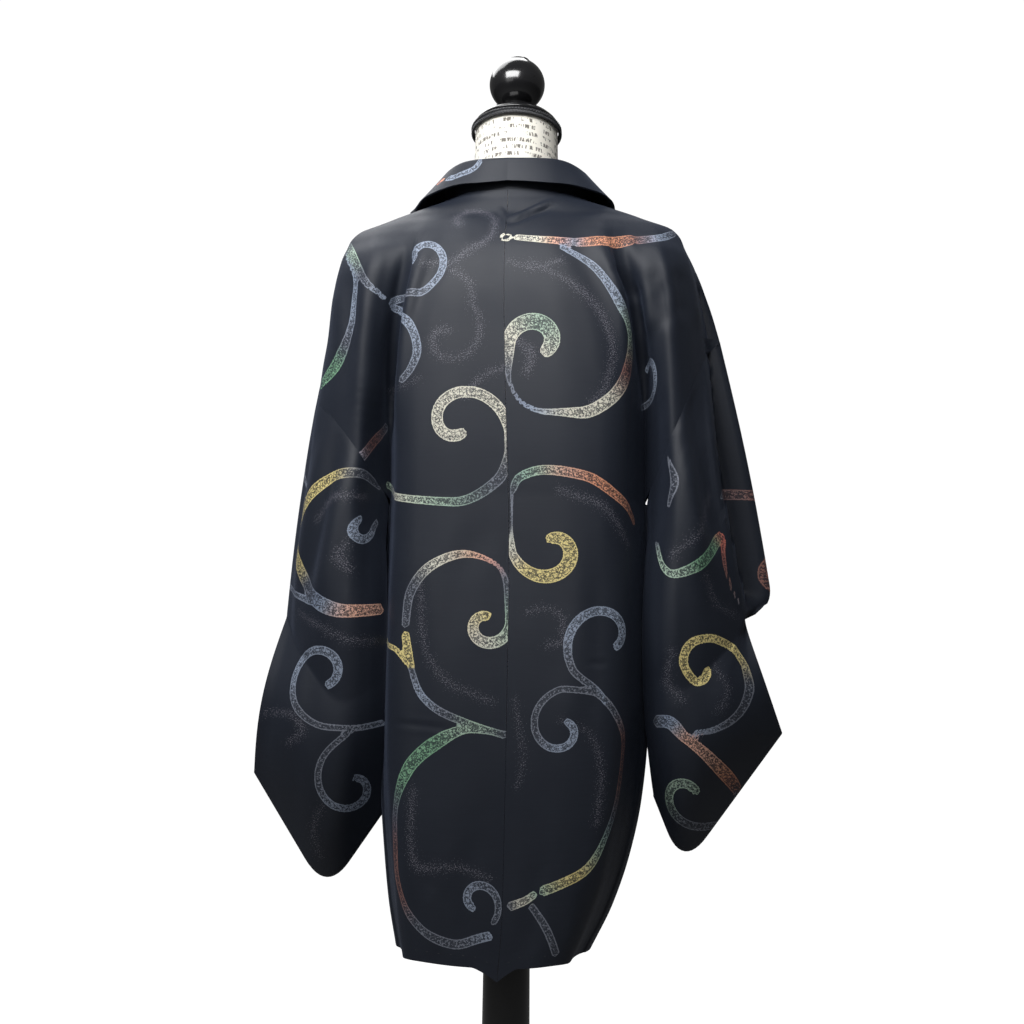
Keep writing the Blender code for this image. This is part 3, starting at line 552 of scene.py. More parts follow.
def sleeveRows(side, front):
    facing = -1.0 if front else 1.0
    sign = side["sign"]
    columns = jacket["armholeRows"]
    seam = []
    for i in range(columns + 1):
        z, place = armholeAt(side, 1.0 - i / columns)
        seam.append(skinRow(side, z, 2.0 - place if front else place)[0])
    seam = np.array(seam)
    apart = np.clip(1.0 - 12.0 * np.arange(columns + 1) / columns, 0.0, 1.0)
    seam[:, 0] += sign * jacket["slit"] * apart
    outline = lowerOutline(side, columns + 1)
    sewn = np.full(columns + 1, facing * jacket["sewnEdge"] / 2)
    low = np.stack([sign * outline[:, 0], sewn, outline[:, 1]], axis=1)
    across = np.linspace(0.0, 1.0, columns + 1)[:, None]
    rows = []
    for k in range(jacket["sleeveRows"] + 1):
        v = k / jacket["sleeveRows"]
        bow = math.sin(math.pi * v)
        inner = seam[0] + (low[0] - seam[0]) * v
        inner[0] += sign * (0.006 * min(1.0, 7.0 * v) * (1.0 - v) + 0.003 * bow)
        inner[1] += facing * jacket["sleeveSwell"] * bow
        if not front:
            # the back layer's free edge lies over the body's side
            inner[0] -= sign * 0.017 * bow
            inner[1] += jacket["underLap"] * bow
        outer = outerLine(side, v, facing)
        ruled = seam * (1 - v) + low * v
        sides = inner * (1 - across) + outer * across
        corners = (seam[0] * (1 - across) + seam[-1] * across) * (1 - v)
        corners += (low[0] * (1 - across) + low[-1] * across) * v
        row = ruled + sides - corners
        row[:, 1] += facing * jacket["sleeveSwell"] * bow * np.sin(math.pi * across[:, 0])
        rows.append(notched(side, row))
    return rows


# soft creases: points (x, z) from each one's start to its end, depth and half width. Below 0 it is a ridge.
creases = {
    "bodyBackLeft": [
        ([(0.1, 1.33), (0.122, 1.28), (0.142, 1.18), (0.15, 1.06)], 0.0078, 0.009),
        ([(0.15, 1.32), (0.16, 1.26), (0.17, 1.18), (0.172, 1.08)], -0.004, 0.012),
        ([(-0.008, 1.33), (0.001, 1.34), (0.009, 1.35), (0.017, 1.36)], -0.0018, 0.0036),
        ([(0.05, 0.729), (0.09, 0.733), (0.132, 0.736)], 0.0008, 0.0035),
        ([(0.06, 1.31), (0.105, 1.24), (0.128, 1.13)], 0.0014, 0.013),
        ([(0.2, 1.29), (0.192, 1.24), (0.186, 1.19)], 0.0022, 0.009),
        ([(0.215, 1.27), (0.212, 1.21), (0.206, 1.165)], -0.002, 0.008),
        ([(0.012, 0.98), (0.05, 0.9), (0.064, 0.79)], 0.001, 0.016),
        ([(0.11, 0.93), (0.096, 0.8), (0.09, 0.64)], 0.0016, 0.014),
        ([(0.128, 0.7), (0.122, 0.6), (0.112, 0.48)], 0.0022, 0.01),
        ([(0.03, 0.62), (0.04, 0.54), (0.036, 0.47)], 0.0014, 0.013),
        ([(0.08, 0.56), (0.076, 0.51), (0.07, 0.468)], -0.0018, 0.01),
    ],
    "bodyBackRight": [
        ([(0.012, 1.334), (-0.004, 1.341), (-0.026, 1.354), (-0.054, 1.37)], -0.0024, 0.0034),
        ([(0.012, 1.329), (-0.004, 1.335), (-0.028, 1.347), (-0.056, 1.362)], 0.0016, 0.0045),
        ([(-0.112, 1.33), (-0.132, 1.29), (-0.154, 1.22), (-0.168, 1.1)], 0.008, 0.009),
        ([(-0.163, 1.3), (-0.168, 1.25), (-0.176, 1.19)], -0.0034, 0.008),
        ([(-0.097, 0.808), (-0.11, 0.806), (-0.122, 0.805)], 0.0008, 0.0035),
        ([(-0.07, 1.31), (-0.112, 1.24), (-0.138, 1.12)], 0.0016, 0.012),
        ([(-0.126, 1.28), (-0.146, 1.256), (-0.162, 1.238)], 0.0024, 0.007),
        ([(-0.17, 1.262), (-0.174, 1.235), (-0.178, 1.196)], -0.0022, 0.008),
        ([(-0.18, 1.262), (-0.184, 1.23), (-0.188, 1.196)], 0.002, 0.008),
        ([(-0.205, 1.29), (-0.208, 1.24), (-0.206, 1.21)], 0.0022, 0.009),
        ([(-0.02, 0.96), (-0.06, 0.86), (-0.07, 0.74)], 0.001, 0.017),
        ([(-0.116, 0.96), (-0.112, 0.84), (-0.1, 0.7)], 0.0016, 0.014),
        ([(-0.15, 0.76), (-0.14, 0.64), (-0.118, 0.54)], 0.0024, 0.011),
        ([(-0.05, 0.6), (-0.044, 0.53), (-0.04, 0.47)], 0.0016, 0.012),
        ([(-0.086, 0.58), (-0.082, 0.52), (-0.078, 0.47)], -0.0018, 0.01),
    ],
    "bodyFrontLeft": [
        ([(0.12, 1.29), (0.138, 1.18), (0.142, 1.06)], 0.0028, 0.01),
        ([(0.098, 1.26), (0.11, 1.12), (0.112, 0.96)], 0.0018, 0.012),
        ([(0.125, 0.9), (0.118, 0.74), (0.11, 0.56)], 0.0022, 0.012),
        ([(0.094, 0.84), (0.092, 0.68), (0.088, 0.5)], 0.0016, 0.01),
    ],
    "bodyFrontRight": [
        ([(-0.122, 1.29), (-0.142, 1.18), (-0.15, 1.06)], 0.0028, 0.01),
        ([(-0.1, 1.24), (-0.112, 1.1), (-0.114, 0.95)], 0.0016, 0.012),
        ([(-0.13, 0.9), (-0.126, 0.74), (-0.108, 0.56)], 0.0024, 0.012),
        ([(-0.092, 0.86), (-0.094, 0.7), (-0.086, 0.5)], 0.0016, 0.01),
    ],
    "sleeveBackLeft": [
        ([(0.2, 1.09), (0.222, 0.98), (0.25, 0.86)], 0.0044, 0.012),
        ([(0.196, 1.05), (0.208, 0.97), (0.226, 0.86)], -0.003, 0.014),
        ([(0.236, 1.11), (0.262, 0.99), (0.282, 0.89)], 0.0022, 0.011),
        ([(0.176, 0.96), (0.19, 0.84), (0.196, 0.72)], 0.0024, 0.014),
        ([(0.232, 0.86), (0.248, 0.76), (0.262, 0.69)], -0.002, 0.014),
        ([(0.205, 0.73), (0.214, 0.65), (0.216, 0.59)], 0.002, 0.012),
    ],
    "sleeveBackRight": [
        ([(-0.214, 1.16), (-0.232, 1.04), (-0.254, 0.92)], 0.0044, 0.011),
        ([(-0.208, 1.07), (-0.216, 1.0), (-0.232, 0.9)], -0.0032, 0.013),
        ([(-0.25, 1.15), (-0.276, 1.03), (-0.3, 0.93)], 0.0026, 0.011),
        ([(-0.196, 0.98), (-0.206, 0.87), (-0.21, 0.76)], 0.0026, 0.013),
        ([(-0.24, 0.88), (-0.256, 0.79), (-0.27, 0.73)], -0.002, 0.014),
        ([(-0.2, 0.76), (-0.206, 0.69), (-0.208, 0.64)], 0.002, 0.012),
    ],
    "sleeveFrontLeft": [
        ([(0.204, 1.08), (0.228, 0.97), (0.252, 0.85)], 0.0032, 0.012),
        ([(0.182, 0.95), (0.192, 0.83), (0.206, 0.7)], 0.0024, 0.013),
        ([(0.24, 0.85), (0.252, 0.76), (0.258, 0.7)], -0.002, 0.014),
    ],
    "sleeveFrontRight": [
        ([(-0.218, 1.12), (-0.24, 1.01), (-0.262, 0.89)], 0.0032, 0.012),
        ([(-0.198, 0.96), (-0.206, 0.85), (-0.216, 0.74)], 0.0024, 0.013),
        ([(-0.244, 0.88), (-0.262, 0.79), (-0.272, 0.74)], -0.002, 0.014),
    ],
}
creaseShape = {
    "ends": 3.2,  # a higher number makes the ends shorter
    "lip": 0.35,  # the soft rise on each side, of the depth
    "lipAway": 1.9,  # half widths
    "lipWidth": 0.8,
    "rowGap": 0.004,  # metres that one row stands for at the top and the bottom
    "fadeAtSeam": 0.006,
    "fadeAtSide": 0.014,
}
nearFold = {
    # the right sleeve's near fold: the cloth beyond its edge lies behind it
    "share": 0.88,  # of the cloth's depth
    "softness": 0.0034,
    "lowZ": (0.863, 0.032),  # where it starts and ends, and over how much height
    "highZ": (1.255, 0.070),
    "lip": 0.0045,
    "lipWidth": 0.005,
}


def walkedAlong(points):
    # the way walked from the first point to each
    return np.concatenate([[0.0], np.cumsum(np.linalg.norm(np.diff(points, axis=0), axis=1))])


def denseLine(points, step=0.004):
    # places this far apart on the curve through the points
    points = np.array(points, dtype=float)
    lengths = walkedAlong(points)
    count = max(4, int(lengths[-1] / step))
    return through(lengths, points, np.linspace(0.0, lengths[-1], count + 1))


def creaseDepth(name, flat):
    # how far each point, given by x and z, moves out (or in, below 0)
    moved = np.zeros(len(flat))
    for points, depth, width in creases.get(name, []):
        line = denseLine(points)
        apart = np.linalg.norm(flat[:, None, :] - line[None, :, :], axis=2)
        nearest = apart.argmin(axis=1)
        away = apart[np.arange(len(flat)), nearest] / width
        place = nearest / (len(line) - 1)
        taper = ease(np.minimum(place, 1.0 - place) * creaseShape["ends"] + 0.05)
        lip = np.exp(-((away - creaseShape["lipAway"]) / creaseShape["lipWidth"]) ** 2)
        moved -= depth * taper * (np.exp(-away ** 2) - creaseShape["lip"] * lip)
    return moved


def lapIn(side, row):
    # how far the cloth beyond the near fold's edge lies behind it
    if side["lap"] is None:
        return np.zeros(len(row))
    line = through(side["lap"][:, 0], side["lap"][:, 1], row[:, 2])[:, 0]
    (lowZ, lowTall), (highZ, highTall) = nearFold["lowZ"], nearFold["highZ"]
    tall = ease((row[:, 2] - lowZ) / lowTall) * (1.0 - ease((row[:, 2] - highZ) / highTall))
    past = np.abs(row[:, 0]) - line
    beyond = ease((past + 0.001) / nearFold["softness"])
    edge = np.exp(-((past + 0.004) / nearFold["lipWidth"]) ** 2)
    deep = np.maximum(0.0, row[:, 1] - jacket["ridgeY"] - 0.0015)
    return tall * (nearFold["share"] * beyond * deep - nearFold["lip"] * edge * (1.0 - beyond))


def gridNormals(rows):
    # one for each point; a short row is filled up with its own end
    width = max(len(row) for row in rows)
    points = np.array([np.vstack([row, np.repeat(row[-1:], width - len(row), axis=0)]) for row in rows])
    down = np.gradient(points, axis=0)
    across = np.gradient(points, axis=1)
    normal = np.cross(down, across)
    size = np.linalg.norm(normal, axis=-1, keepdims=True)
    return normal / np.maximum(size, 1e-12)


def creased(name, rows, outward, keepSides):
    # moves the points of one layer along its own normals, and leaves the sewn sides where they are
    made = []
    normal = gridNormals(rows)
    flip = np.sign(np.sum(normal * outward, axis=-1, keepdims=True))
    flip[flip == 0.0] = 1.0
    # one way for the whole layer, so that a fold doesn't turn it over
    normal *= 1.0 if np.sum(flip) > 0 else -1.0
    for k, row in enumerate(rows):
        depth = creaseDepth(name, row[:, [0, 2]])
        fromStart = walkedAlong(row)
        fromTop, fromBottom = (j * creaseShape["rowGap"] for j in (k, len(rows) - 1 - k))
        fade, seamFade = creaseShape["fadeAtSide"], creaseShape["fadeAtSeam"]
        ways = ((fromStart, seamFade), (fromStart[-1] - fromStart, fade), (fromTop, fade), (fromBottom, fade))
        for kept, (away, reach) in zip(keepSides, ways):
            if kept:
                depth *= ease(away / reach)
        made.append(row + normal[k, :len(row)] * depth[:, None])
    return made


cloth = {
    "lift": 0.0020,  # its outside lies this far off the plain shape
    "wall": 0.0013,
    "inset": 0.0002,  # its free edges are drawn in this much
    "crispEdge": 62,  # degrees, past which an edge looks crisp
}


def newPiece(name, points, faces, looks, slots=None):
    mesh = bpy.data.meshes.new(name)
    mesh.from_pydata([tuple(p) for p in points], [], [tuple(f) for f in faces])
    for look in looks:
        mesh.materials.append(look)
    if slots is not None:
        mesh.polygons.foreach_set("material_index", slots)
    mesh.polygons.foreach_set("use_smooth", [True] * len(mesh.polygons))
    mesh.update()
    piece = bpy.data.objects.new(name, mesh)
    bpy.context.scene.collection.objects.link(piece)
    return piece


def clothCoords(rows, sign=1, start=0.0):
    # a place on the flat cloth for every point: along the row, and down the piece
    middle = min(20, min(len(row) for row in rows) - 1)
    down = walkedAlong([row[middle] for row in rows])
    coords = []
    for row, depth in zip(rows, down):
        height = np.full(len(row), yokeLevels[0, 0] - depth)
        coords.append(np.stack([sign * (walkedAlong(row) + start), height], axis=1))
    return coords


def paintCorners(mesh, order, flats, edges, tints):
    # the cloth's own map and its scrolls, at every face's corners
    uv = mesh.uv_layers.new(name="clothMap")
    uv.data.foreach_set("uv", flats[order].astype(np.float32).ravel())
    for title, values in (("scrollEdge", edges[order, 0]), ("paleEdge", edges[order, 1])):
        layer = mesh.attributes.new(title, "FLOAT", "CORNER")
        layer.data.foreach_set("value", values.astype(np.float32))
    layer = mesh.attributes.new("scrollTint", "FLOAT_COLOR", "CORNER")
    layer.data.foreach_set("color", tints[order].astype(np.float32).ravel())
    mesh.set_sharp_from_angle(angle=math.radians(cloth["crispEdge"]))


def shellPiece(name, layers, looks):
    # layers: rows of points, rows of flat places, whether its faces are turned, a scroll pattern or none
    places, flats, edges, tints, faces = [], [], [], [], []
    for rows, coords, turned, pattern in layers:
        names = []
        for row, coord in zip(rows, coords):
            names.append(list(range(len(places), len(places) + len(row))))
            places.extend(row)
            flats.extend(coord)
        count = sum(len(row) for row in rows)
        edge, tint = pattern or (np.full((count, 2), 1.0), np.full((count, 4), 1.0))
        edges.append(edge)
        tints.append(tint)
        for upper, lower in zip(names, names[1:]):
            for i in range(min(len(upper), len(lower)) - 1):
                face = [upper[i], upper[i + 1], lower[i + 1], lower[i]]
                faces.append(face if turned else face[::-1])
    places = np.array(places)
    # points that lie on one another are one point
    keys = np.round(places * 1.0e5).astype(np.int64)
    _, first, corner = np.unique(keys, axis=0, return_index=True, return_inverse=True)
    corner = corner.ravel()
    outside = places[first].copy()
    kept = []
    for face in faces:
        ring = [corner[j] for j in face]
        ring = [(r, j) for r, j, before in zip(ring, face, ring[-1:] + ring[:-1]) if r != before]
        if len({r for r, j in ring}) >= 3:
            kept.append(ring)
    probe = bpy.data.meshes.new("probe")
    probe.from_pydata([tuple(p) for p in outside], [], [[r for r, j in ring] for ring in kept])
    probe.update()
    normals = np.array([n.vector[:] for n in probe.vertex_normals])
    bpy.data.meshes.remove(probe)
    sides = dict.fromkeys((a[0], b[0]) for ring in kept for a, b in zip(ring, ring[1:] + ring[:1]))
    rim = [(a, b) for a, b in sides if (b, a) not in sides]
    inward = {}
    for a, b in rim:
        way = np.cross(normals[a], outside[b] - outside[a])
        way /= max(1e-9, np.linalg.norm(way))
        for r in (a, b):
            inward.setdefault(r, []).append(way)
    moved = outside + normals * cloth["lift"]
    for r, ways in inward.items():
        way = np.sum(ways, axis=0)
        moved[r] += way / max(1e-6, np.linalg.norm(way)) * cloth["inset"]
    inside = moved - normals * cloth["wall"]
    count = len(outside)
    made, slots, samples = [], [], []
    for ring in kept:
        made.append([r for r, j in ring])
        slots.append(0)
        samples.append([j for r, j in ring])
        made.append([r + count for r, j in reversed(ring)])
        slots.append(1)
        samples.append([j for r, j in reversed(ring)])
    sampleOf = {}
    for ring in kept:
        for r, j in ring:
            sampleOf.setdefault(r, j)
    for a, b in rim:
        made.append([b, a, a + count, b + count])
        slots.append(0)
        samples.append([sampleOf[b], sampleOf[a], sampleOf[a], sampleOf[b]])
    piece = newPiece(name, np.vstack([moved, inside]), made, looks, slots)
    order = np.array([j for ring in samples for j in ring])
    paintCorners(piece.data, order, np.array(flats), np.vstack(edges), np.vstack(tints))
    return piece


threadSeed = 11


def threadTree():
    # one short rounded thread on every point, lying as the point's own attribute says
    tree, g, given, out = newGroup(
        "laidThreads",
        [("Geometry", "Geometry", None), ("Length", "Float", 0.002), ("Width", "Float", 0.0005),
         ("Uneven", "Float", 0.12), ("Seed", "Int", 3), ("Look", "Material", None)],
        [("Geometry", "Geometry")], "Geometry",
    )
    length, width, uneven, seed, look = given.outputs[1:6]
    ball = g.add("GeometryNodeMeshUVSphere", Segments=8, Rings=6, Radius=0.5)
    lie = g.add("GeometryNodeInputNamedAttribute", {"data_type": "FLOAT_VECTOR"}, Name="lie")
    way = g.add("FunctionNodeEulerToRotation", i0=lie)
    size = g.add("CombineXYZ", i0=length, i1=width, i2=width)
    chance = g.add("FunctionNodeRandomValue", {"data_type": "FLOAT"}, Seed=seed)
    least, most = [socket for socket in chance.inputs if socket.enabled and socket.type == "VALUE"]
    tree.links.new(g.math("SUBTRACT", 1.0, uneven), least)
    tree.links.new(g.math("ADD", 1.0, uneven), most)
    share = [socket for socket in chance.outputs if socket.enabled][0]
    size = g.vector("SCALE", size, Scale=share)
    placed = g.add("GeometryNodeInstanceOnPoints", Points=given, Instance=ball, Rotation=way, Scale=size)
    smooth = g.add("GeometryNodeSetShadeSmooth", i0=g.add("GeometryNodeRealizeInstances", i0=placed))
    g.feed(out, "i0", g.add("GeometryNodeSetMaterial", i0=smooth, Material=look))
    return tree


def layThreads(name, spots, ways, outs, length, width, look, uneven):
    # threads centred on the spots, along the ways, as one plain mesh
    mesh = bpy.data.meshes.new(name)
    mesh.from_pydata([tuple(p) for p in spots], [], [])
    lies = []
    for way, out in zip(ways, outs):
        x = Vector(way).normalized()
        z = Vector(out)
        z = (z - x * z.dot(x)).normalized()
        turn = Matrix((x, z.cross(x), z)).transposed()
        lies.extend(turn.to_euler())
    lie = mesh.attributes.new("lie", "FLOAT_VECTOR", "POINT")
    lie.data.foreach_set("vector", np.array(lies, dtype=np.float32))
    piece = bpy.data.objects.new(name, mesh)
    bpy.context.scene.collection.objects.link(piece)
    made = piece.modifiers.new("threads", "NODES")
    made.node_group = laidThreads
    wanted = {"Length": length, "Width": width, "Uneven": uneven, "Seed": threadSeed, "Look": look}
    for socket in laidThreads.interface.items_tree:
        if socket.in_out == "INPUT" and socket.name in wanted:
            made[socket.identifier] = wanted[socket.name]
    bpy.context.view_layer.update()
    ready = piece.evaluated_get(bpy.context.evaluated_depsgraph_get())
    solid = bpy.data.meshes.new_from_object(ready)
    piece.modifiers.clear()
    piece.data = solid
    return piece


def along(rows, path, pitch):
    # evenly spaced places on a line of the grid, with the line's way and the cloth's outside there
    normal = gridNormals(rows)
    line = np.array([rows[k][min(i, len(rows[k]) - 1)] for k, i in path])
    outs = np.array([normal[k, i] for k, i in path])
    walked = walkedAlong(line)
    spots = np.arange(0.5 * pitch, walked[-1], pitch)
    place = np.stack([np.interp(spots, walked, line[:, k]) for k in range(3)], axis=1)
    way = np.stack([np.interp(spots + 0.001, walked, line[:, k]) for k in range(3)], axis=1) - place
    out = np.stack([np.interp(spots, walked, outs[:, k]) for k in range(3)], axis=1)
    out /= np.linalg.norm(out, axis=1, keepdims=True)
    keep = np.linalg.norm(way, axis=1) > 1.0e-5
    return place[keep], way[keep], out[keep]


laidThreads = threadTree()


lathed = {
    "segments": 96,
    "crispEdge": 38,  # degrees
    "cornerSteps": 4,
}


def ringFaces(around, rings, first=0):
    # faces between rings of points, each ring below the next
    faces = []
    for k in range(rings - 1):
        low, high = first + k * around, first + (k + 1) * around
        for i in range(around):
            j = (i + 1) % around
            faces.append([low + i, low + j, high + j, high + i])
    return faces


def lathe(name, profile, look, segments=lathed["segments"]):
    # a body of revolution about Z from (radius, height) points that start and end on the axis
    points = [(0.0, 0.0, profile[0][1])]
    for radius, z in profile[1:-1]:
        for i in range(segments):
            angle = 2.0 * math.pi * i / segments
            points.append((radius * math.cos(angle), radius * math.sin(angle), z))
    points.append((0.0, 0.0, profile[-1][1]))
    last, rings = len(points) - 1, len(profile) - 2
    faces = ringFaces(segments, rings, 1)
    top = 1 + (rings - 1) * segments
    for i in range(segments):
        j = (i + 1) % segments
        faces.append([0, 1 + j, 1 + i])
        faces.append([top + i, top + j, last])
    piece = newPiece(name, points, faces, [look])
    piece.data.set_sharp_from_angle(angle=math.radians(lathed["crispEdge"]))
    return piece


def rounded(profile, radius):
    # the profile with its inner corners rounded off
    points = [profile[0]]
    for before, here, after in zip(profile, profile[1:], profile[2:]):
        a, b, c = (np.array(p, dtype=float) for p in (before, here, after))
        toBefore, toAfter = np.linalg.norm(a - b), np.linalg.norm(c - b)
        cut = min(radius, 0.42 * toBefore, 0.42 * toAfter)
        start, end = b + (a - b) / toBefore * cut, b + (c - b) / toAfter * cut
        for t in np.linspace(0.0, 1.0, lathed["cornerSteps"] + 1):
            points.append(tuple((1 - t) ** 2 * start + 2 * t * (1 - t) * b + t * t * end))
    points.append(profile[-1])
    return points


slubStretch = (26.0, 420.0, 26.0)


def weaveGroup():
    # fine crossing threads with small slubs: a height, and a shade that changes from thread to thread
    tree, g, given, out = newGroup(
        "crossWeave",
        [("Place", "Vector", None), ("Threads per metre", "Float", 900.0), ("Slub", "Float", 0.4)],
        [("Height", "Float"), ("Shade", "Float")],
    )
    parts = g.add("SeparateXYZ", i0=given.outputs[0])
    turn = g.times(given.outputs[1], 2.0 * math.pi)
    warp = g.math("SINE", g.times(parts.outputs[0], turn))
    weft = g.math("SINE", g.times(parts.outputs[1], turn))
    crossed = g.times(warp, weft)
    slub = g.noise(g.vector("MULTIPLY", given.outputs[0], i1=slubStretch), 1.0)
    g.feed(out, "i0", g.math("MULTIPLY_ADD", slub, given.outputs[2], crossed))
    g.feed(out, "i1", slub)
    return tree


sprigs = {
    "bendScale": 420.0,
    "bend": 0.0032,
    "dotSize": 0.62,
    "vineScale": 0.55,
    "vineWidth": 0.085,
}


def sprigGroup():
    # small sprigs and dots that fill a band
    tree, g, given, out = newGroup(
        "sprigFill",
        [("Place", "Vector", None), ("Scale", "Float", 260.0), ("Amount", "Float", 0.5)],
        [("Mask", "Float")],
    )
    bent = g.add("TexNoise", Vector=given.outputs[0], Scale=sprigs["bendScale"], Detail=1.0)
    nudge = g.vector("SCALE", bent.outputs["Color"], Scale=sprigs["bend"])
    place = g.vector("ADD", given.outputs[0], i1=nudge)
    cells = g.add("TexVoronoi", {"feature": "F1"}, Vector=place, Scale=given.outputs[1])
    dotSize = g.times(given.outputs[2], sprigs["dotSize"])
    dots = g.math("LESS_THAN", cells.outputs["Distance"], dotSize)
    vineScale = g.times(given.outputs[1], sprigs["vineScale"])
    edges = g.add("TexVoronoi", {"feature": "DISTANCE_TO_EDGE"}, Vector=place, Scale=vineScale)
    vines = g.math("LESS_THAN", edges.outputs["Distance"], sprigs["vineWidth"])
    g.feed(out, "i0", g.math("MAXIMUM", dots, vines))
    return tree


weaveTree = weaveGroup()
sprigTree = sprigGroup()
silk = {
    "ground": (0.0070, 0.0094, 0.0160, 1.0),
    "groundLit": (0.0122, 0.0158, 0.0250, 1.0),
    "cloudScale": 9.0,
    "roughness": 0.54,
    "roughSpread": (-0.04, 0.05),
    "sheen": 0.06,
    "sheenRoughness": 0.45,
    "sheenTint": (0.50, 0.62, 0.95, 1.0),
    "specular": 0.30,
    "threads": 1150.0,  # per metre
    "slub": 0.5,
    "bump": (0.16, 0.0003),
}
bands = {
    # the colored scrolls. Spans are metres from a band's edge, below 0 inside it
    "raggedScale": 700.0,
    "ragged": 0.0014,
    "edge": (-0.0003, 0.0002),
    "rim": (-0.0013, -0.0008),
    "sprigScale": 360.0,
    "sprigAmount": 0.34,
    "sprigDark": 0.85,
    "patchScale": 430.0,
    "patchBend": 0.6,
    "openness": 0.30,  # by the color's last channel
    "openSpan": (0.27, 0.33),
    "fillDark": 0.90,
    "wearScale": 1100.0,
    "wearSpan": (0.30, 0.56),
    "worn": (0.60, 1.0),
    "paintedSpan": (0.05, 0.15),
    "raised": 1.2,
}
dust = {
    # the pale scrolls: separate grains, closer together along their middle
    "grainScale": 760.0,
    "span": (-0.009, 0.007),
    "closeness": (0.535, 0.71),
    "fadeSpan": (0.004, 0.010),
    "share": 0.75,
    "color": (0.155, 0.150, 0.180, 1.0),
}


def silkFinish():
    made, body, g = newLook(
        "scrollSilk", Sheen_Weight=silk["sheen"], Sheen_Roughness=silk["sheenRoughness"],
        Sheen_Tint=silk["sheenTint"], Specular_IOR_Level=silk["specular"],
    )
    place = g.add("UVMap", {"uv_map": "clothMap"}).outputs[0]
    weave = g.add("Group", {"node_tree": weaveTree}, i0=place, i1=silk["threads"], i2=silk["slub"])
    cloud = g.noise(place, silk["cloudScale"])
    share = g.math("MULTIPLY_ADD", cloud, 0.7, g.times(weave.outputs[1], 0.5), clamp=True)
    color = g.mix(share, silk["ground"], silk["groundLit"])
    least, most = (silk["roughness"] + spread for spread in silk["roughSpread"])
    g.feed(body, "Roughness", g.step(cloud, (0.2, 0.8), (least, most)))
    edge = g.add("Attribute", {"attribute_name": "scrollEdge"}).outputs["Fac"]
    pale = g.add("Attribute", {"attribute_name": "paleEdge"}).outputs["Fac"]
    tint = g.add("Attribute", {"attribute_name": "scrollTint"})
    nudge = g.noise(place, bands["raggedScale"], 1.0)
    nudge = g.math("MULTIPLY_ADD", nudge, bands["ragged"], -0.5 * bands["ragged"])
    ragged = g.math("ADD", edge, nudge)
    band = g.step(ragged, bands["edge"], (1.0, 0.0))
    # inside a bright rim the band is filled with small sprigs, closer or more open
    scale, amount = bands["sprigScale"], bands["sprigAmount"]
    sprig = g.add("Group", {"node_tree": sprigTree}, i0=place, i1=scale, i2=amount)
    patch = g.add("TexNoise", Vector=place, Scale=bands["patchScale"], Distortion=bands["patchBend"])
    patch = g.math("SUBTRACT", patch.outputs[0], g.times(tint.outputs["Alpha"], bands["openness"]))
    sprig = g.times(sprig, bands["sprigDark"])
    gaps = g.math("MAXIMUM", sprig, g.step(patch, bands["openSpan"]))
    holes = g.times(gaps, g.step(ragged, bands["rim"], (1.0, 0.0)))
    worn = g.step(g.noise(place, bands["wearScale"], 1.0), bands["wearSpan"], bands["worn"])
    filled = g.math("SUBTRACT", 1.0, g.times(holes, bands["fillDark"]))
    filled = g.times(filled, worn)
    painted = g.step(tint.outputs["Alpha"], bands["paintedSpan"])
    shown = g.math("MULTIPLY", g.times(band, filled), painted, clamp=True)
    grains = g.noise(place, dust["grainScale"])
    grains = g.math("GREATER_THAN", grains, g.step(pale, dust["span"], dust["closeness"]))
    grains = g.times(grains, g.step(pale, dust["fadeSpan"], (dust["share"], 0.0)))
    color = g.mix(grains, color, dust["color"])
    g.feed(body, "Base Color", g.mix(shown, color, tint.outputs["Color"]))
    g.bump(body, *silk["bump"], g.math("MULTIPLY_ADD", shown, bands["raised"], weave.outputs[0]))
    return made


thread = {
    "scale": 2600.0,
    "colors": ((0.009, 0.009, 0.012, 1.0), (0.022, 0.023, 0.029, 1.0)),
    "roughness": 0.55,
}


def threadFinish():
    made, body, g = newLook("blackThread", Roughness=thread["roughness"])
    fibre = g.noise(g.add("TexCoord").outputs["Object"], thread["scale"], 1.0)
    g.feed(body, "Base Color", g.mix(fibre, *thread["colors"]))
    return made


lining = {
    "threads": 1400.0,
    "slub": 0.3,
    "colors": ((0.020, 0.014, 0.024, 1.0), (0.036, 0.026, 0.042, 1.0)),
    "roughness": 0.42,
    "bump": (0.12, 0.0002),
}


def liningFinish():
    made, body, g = newLook("plumLining", Roughness=lining["roughness"])
    place = g.add("UVMap", {"uv_map": "clothMap"})
    weave = g.add("Group", {"node_tree": weaveTree}, i0=place, i1=lining["threads"], i2=lining["slub"])
    g.feed(body, "Base Color", g.mix(weave.outputs[1], *lining["colors"]))
    g.bump(body, *lining["bump"], weave.outputs[0])
    return made


lacquer = {
    "cloudScale": 38.0,
    "colors": ((0.0045, 0.0045, 0.005, 1.0), (0.010, 0.010, 0.011, 1.0)),
    "roughness": (0.14, 0.24),
    "fineScale": 420.0,
    "bump": (0.05, 0.0003),
    "coat": 0.5,
    "coatRoughness": 0.08,
}


def lacquerFinish():
    made, body, g = newLook(
        "blackLacquer", Coat_Weight=lacquer["coat"], Coat_Roughness=lacquer["coatRoughness"],
    )
    place = g.add("TexCoord").outputs["Object"]
    cloud = g.noise(place, lacquer["cloudScale"], 3.0)
    g.feed(body, "Base Color", g.mix(cloud, *lacquer["colors"]))
    g.feed(body, "Roughness", g.step(cloud, (0.3, 0.7), lacquer["roughness"]))
    g.bump(body, *lacquer["bump"], g.noise(place, lacquer["fineScale"]))
    return made


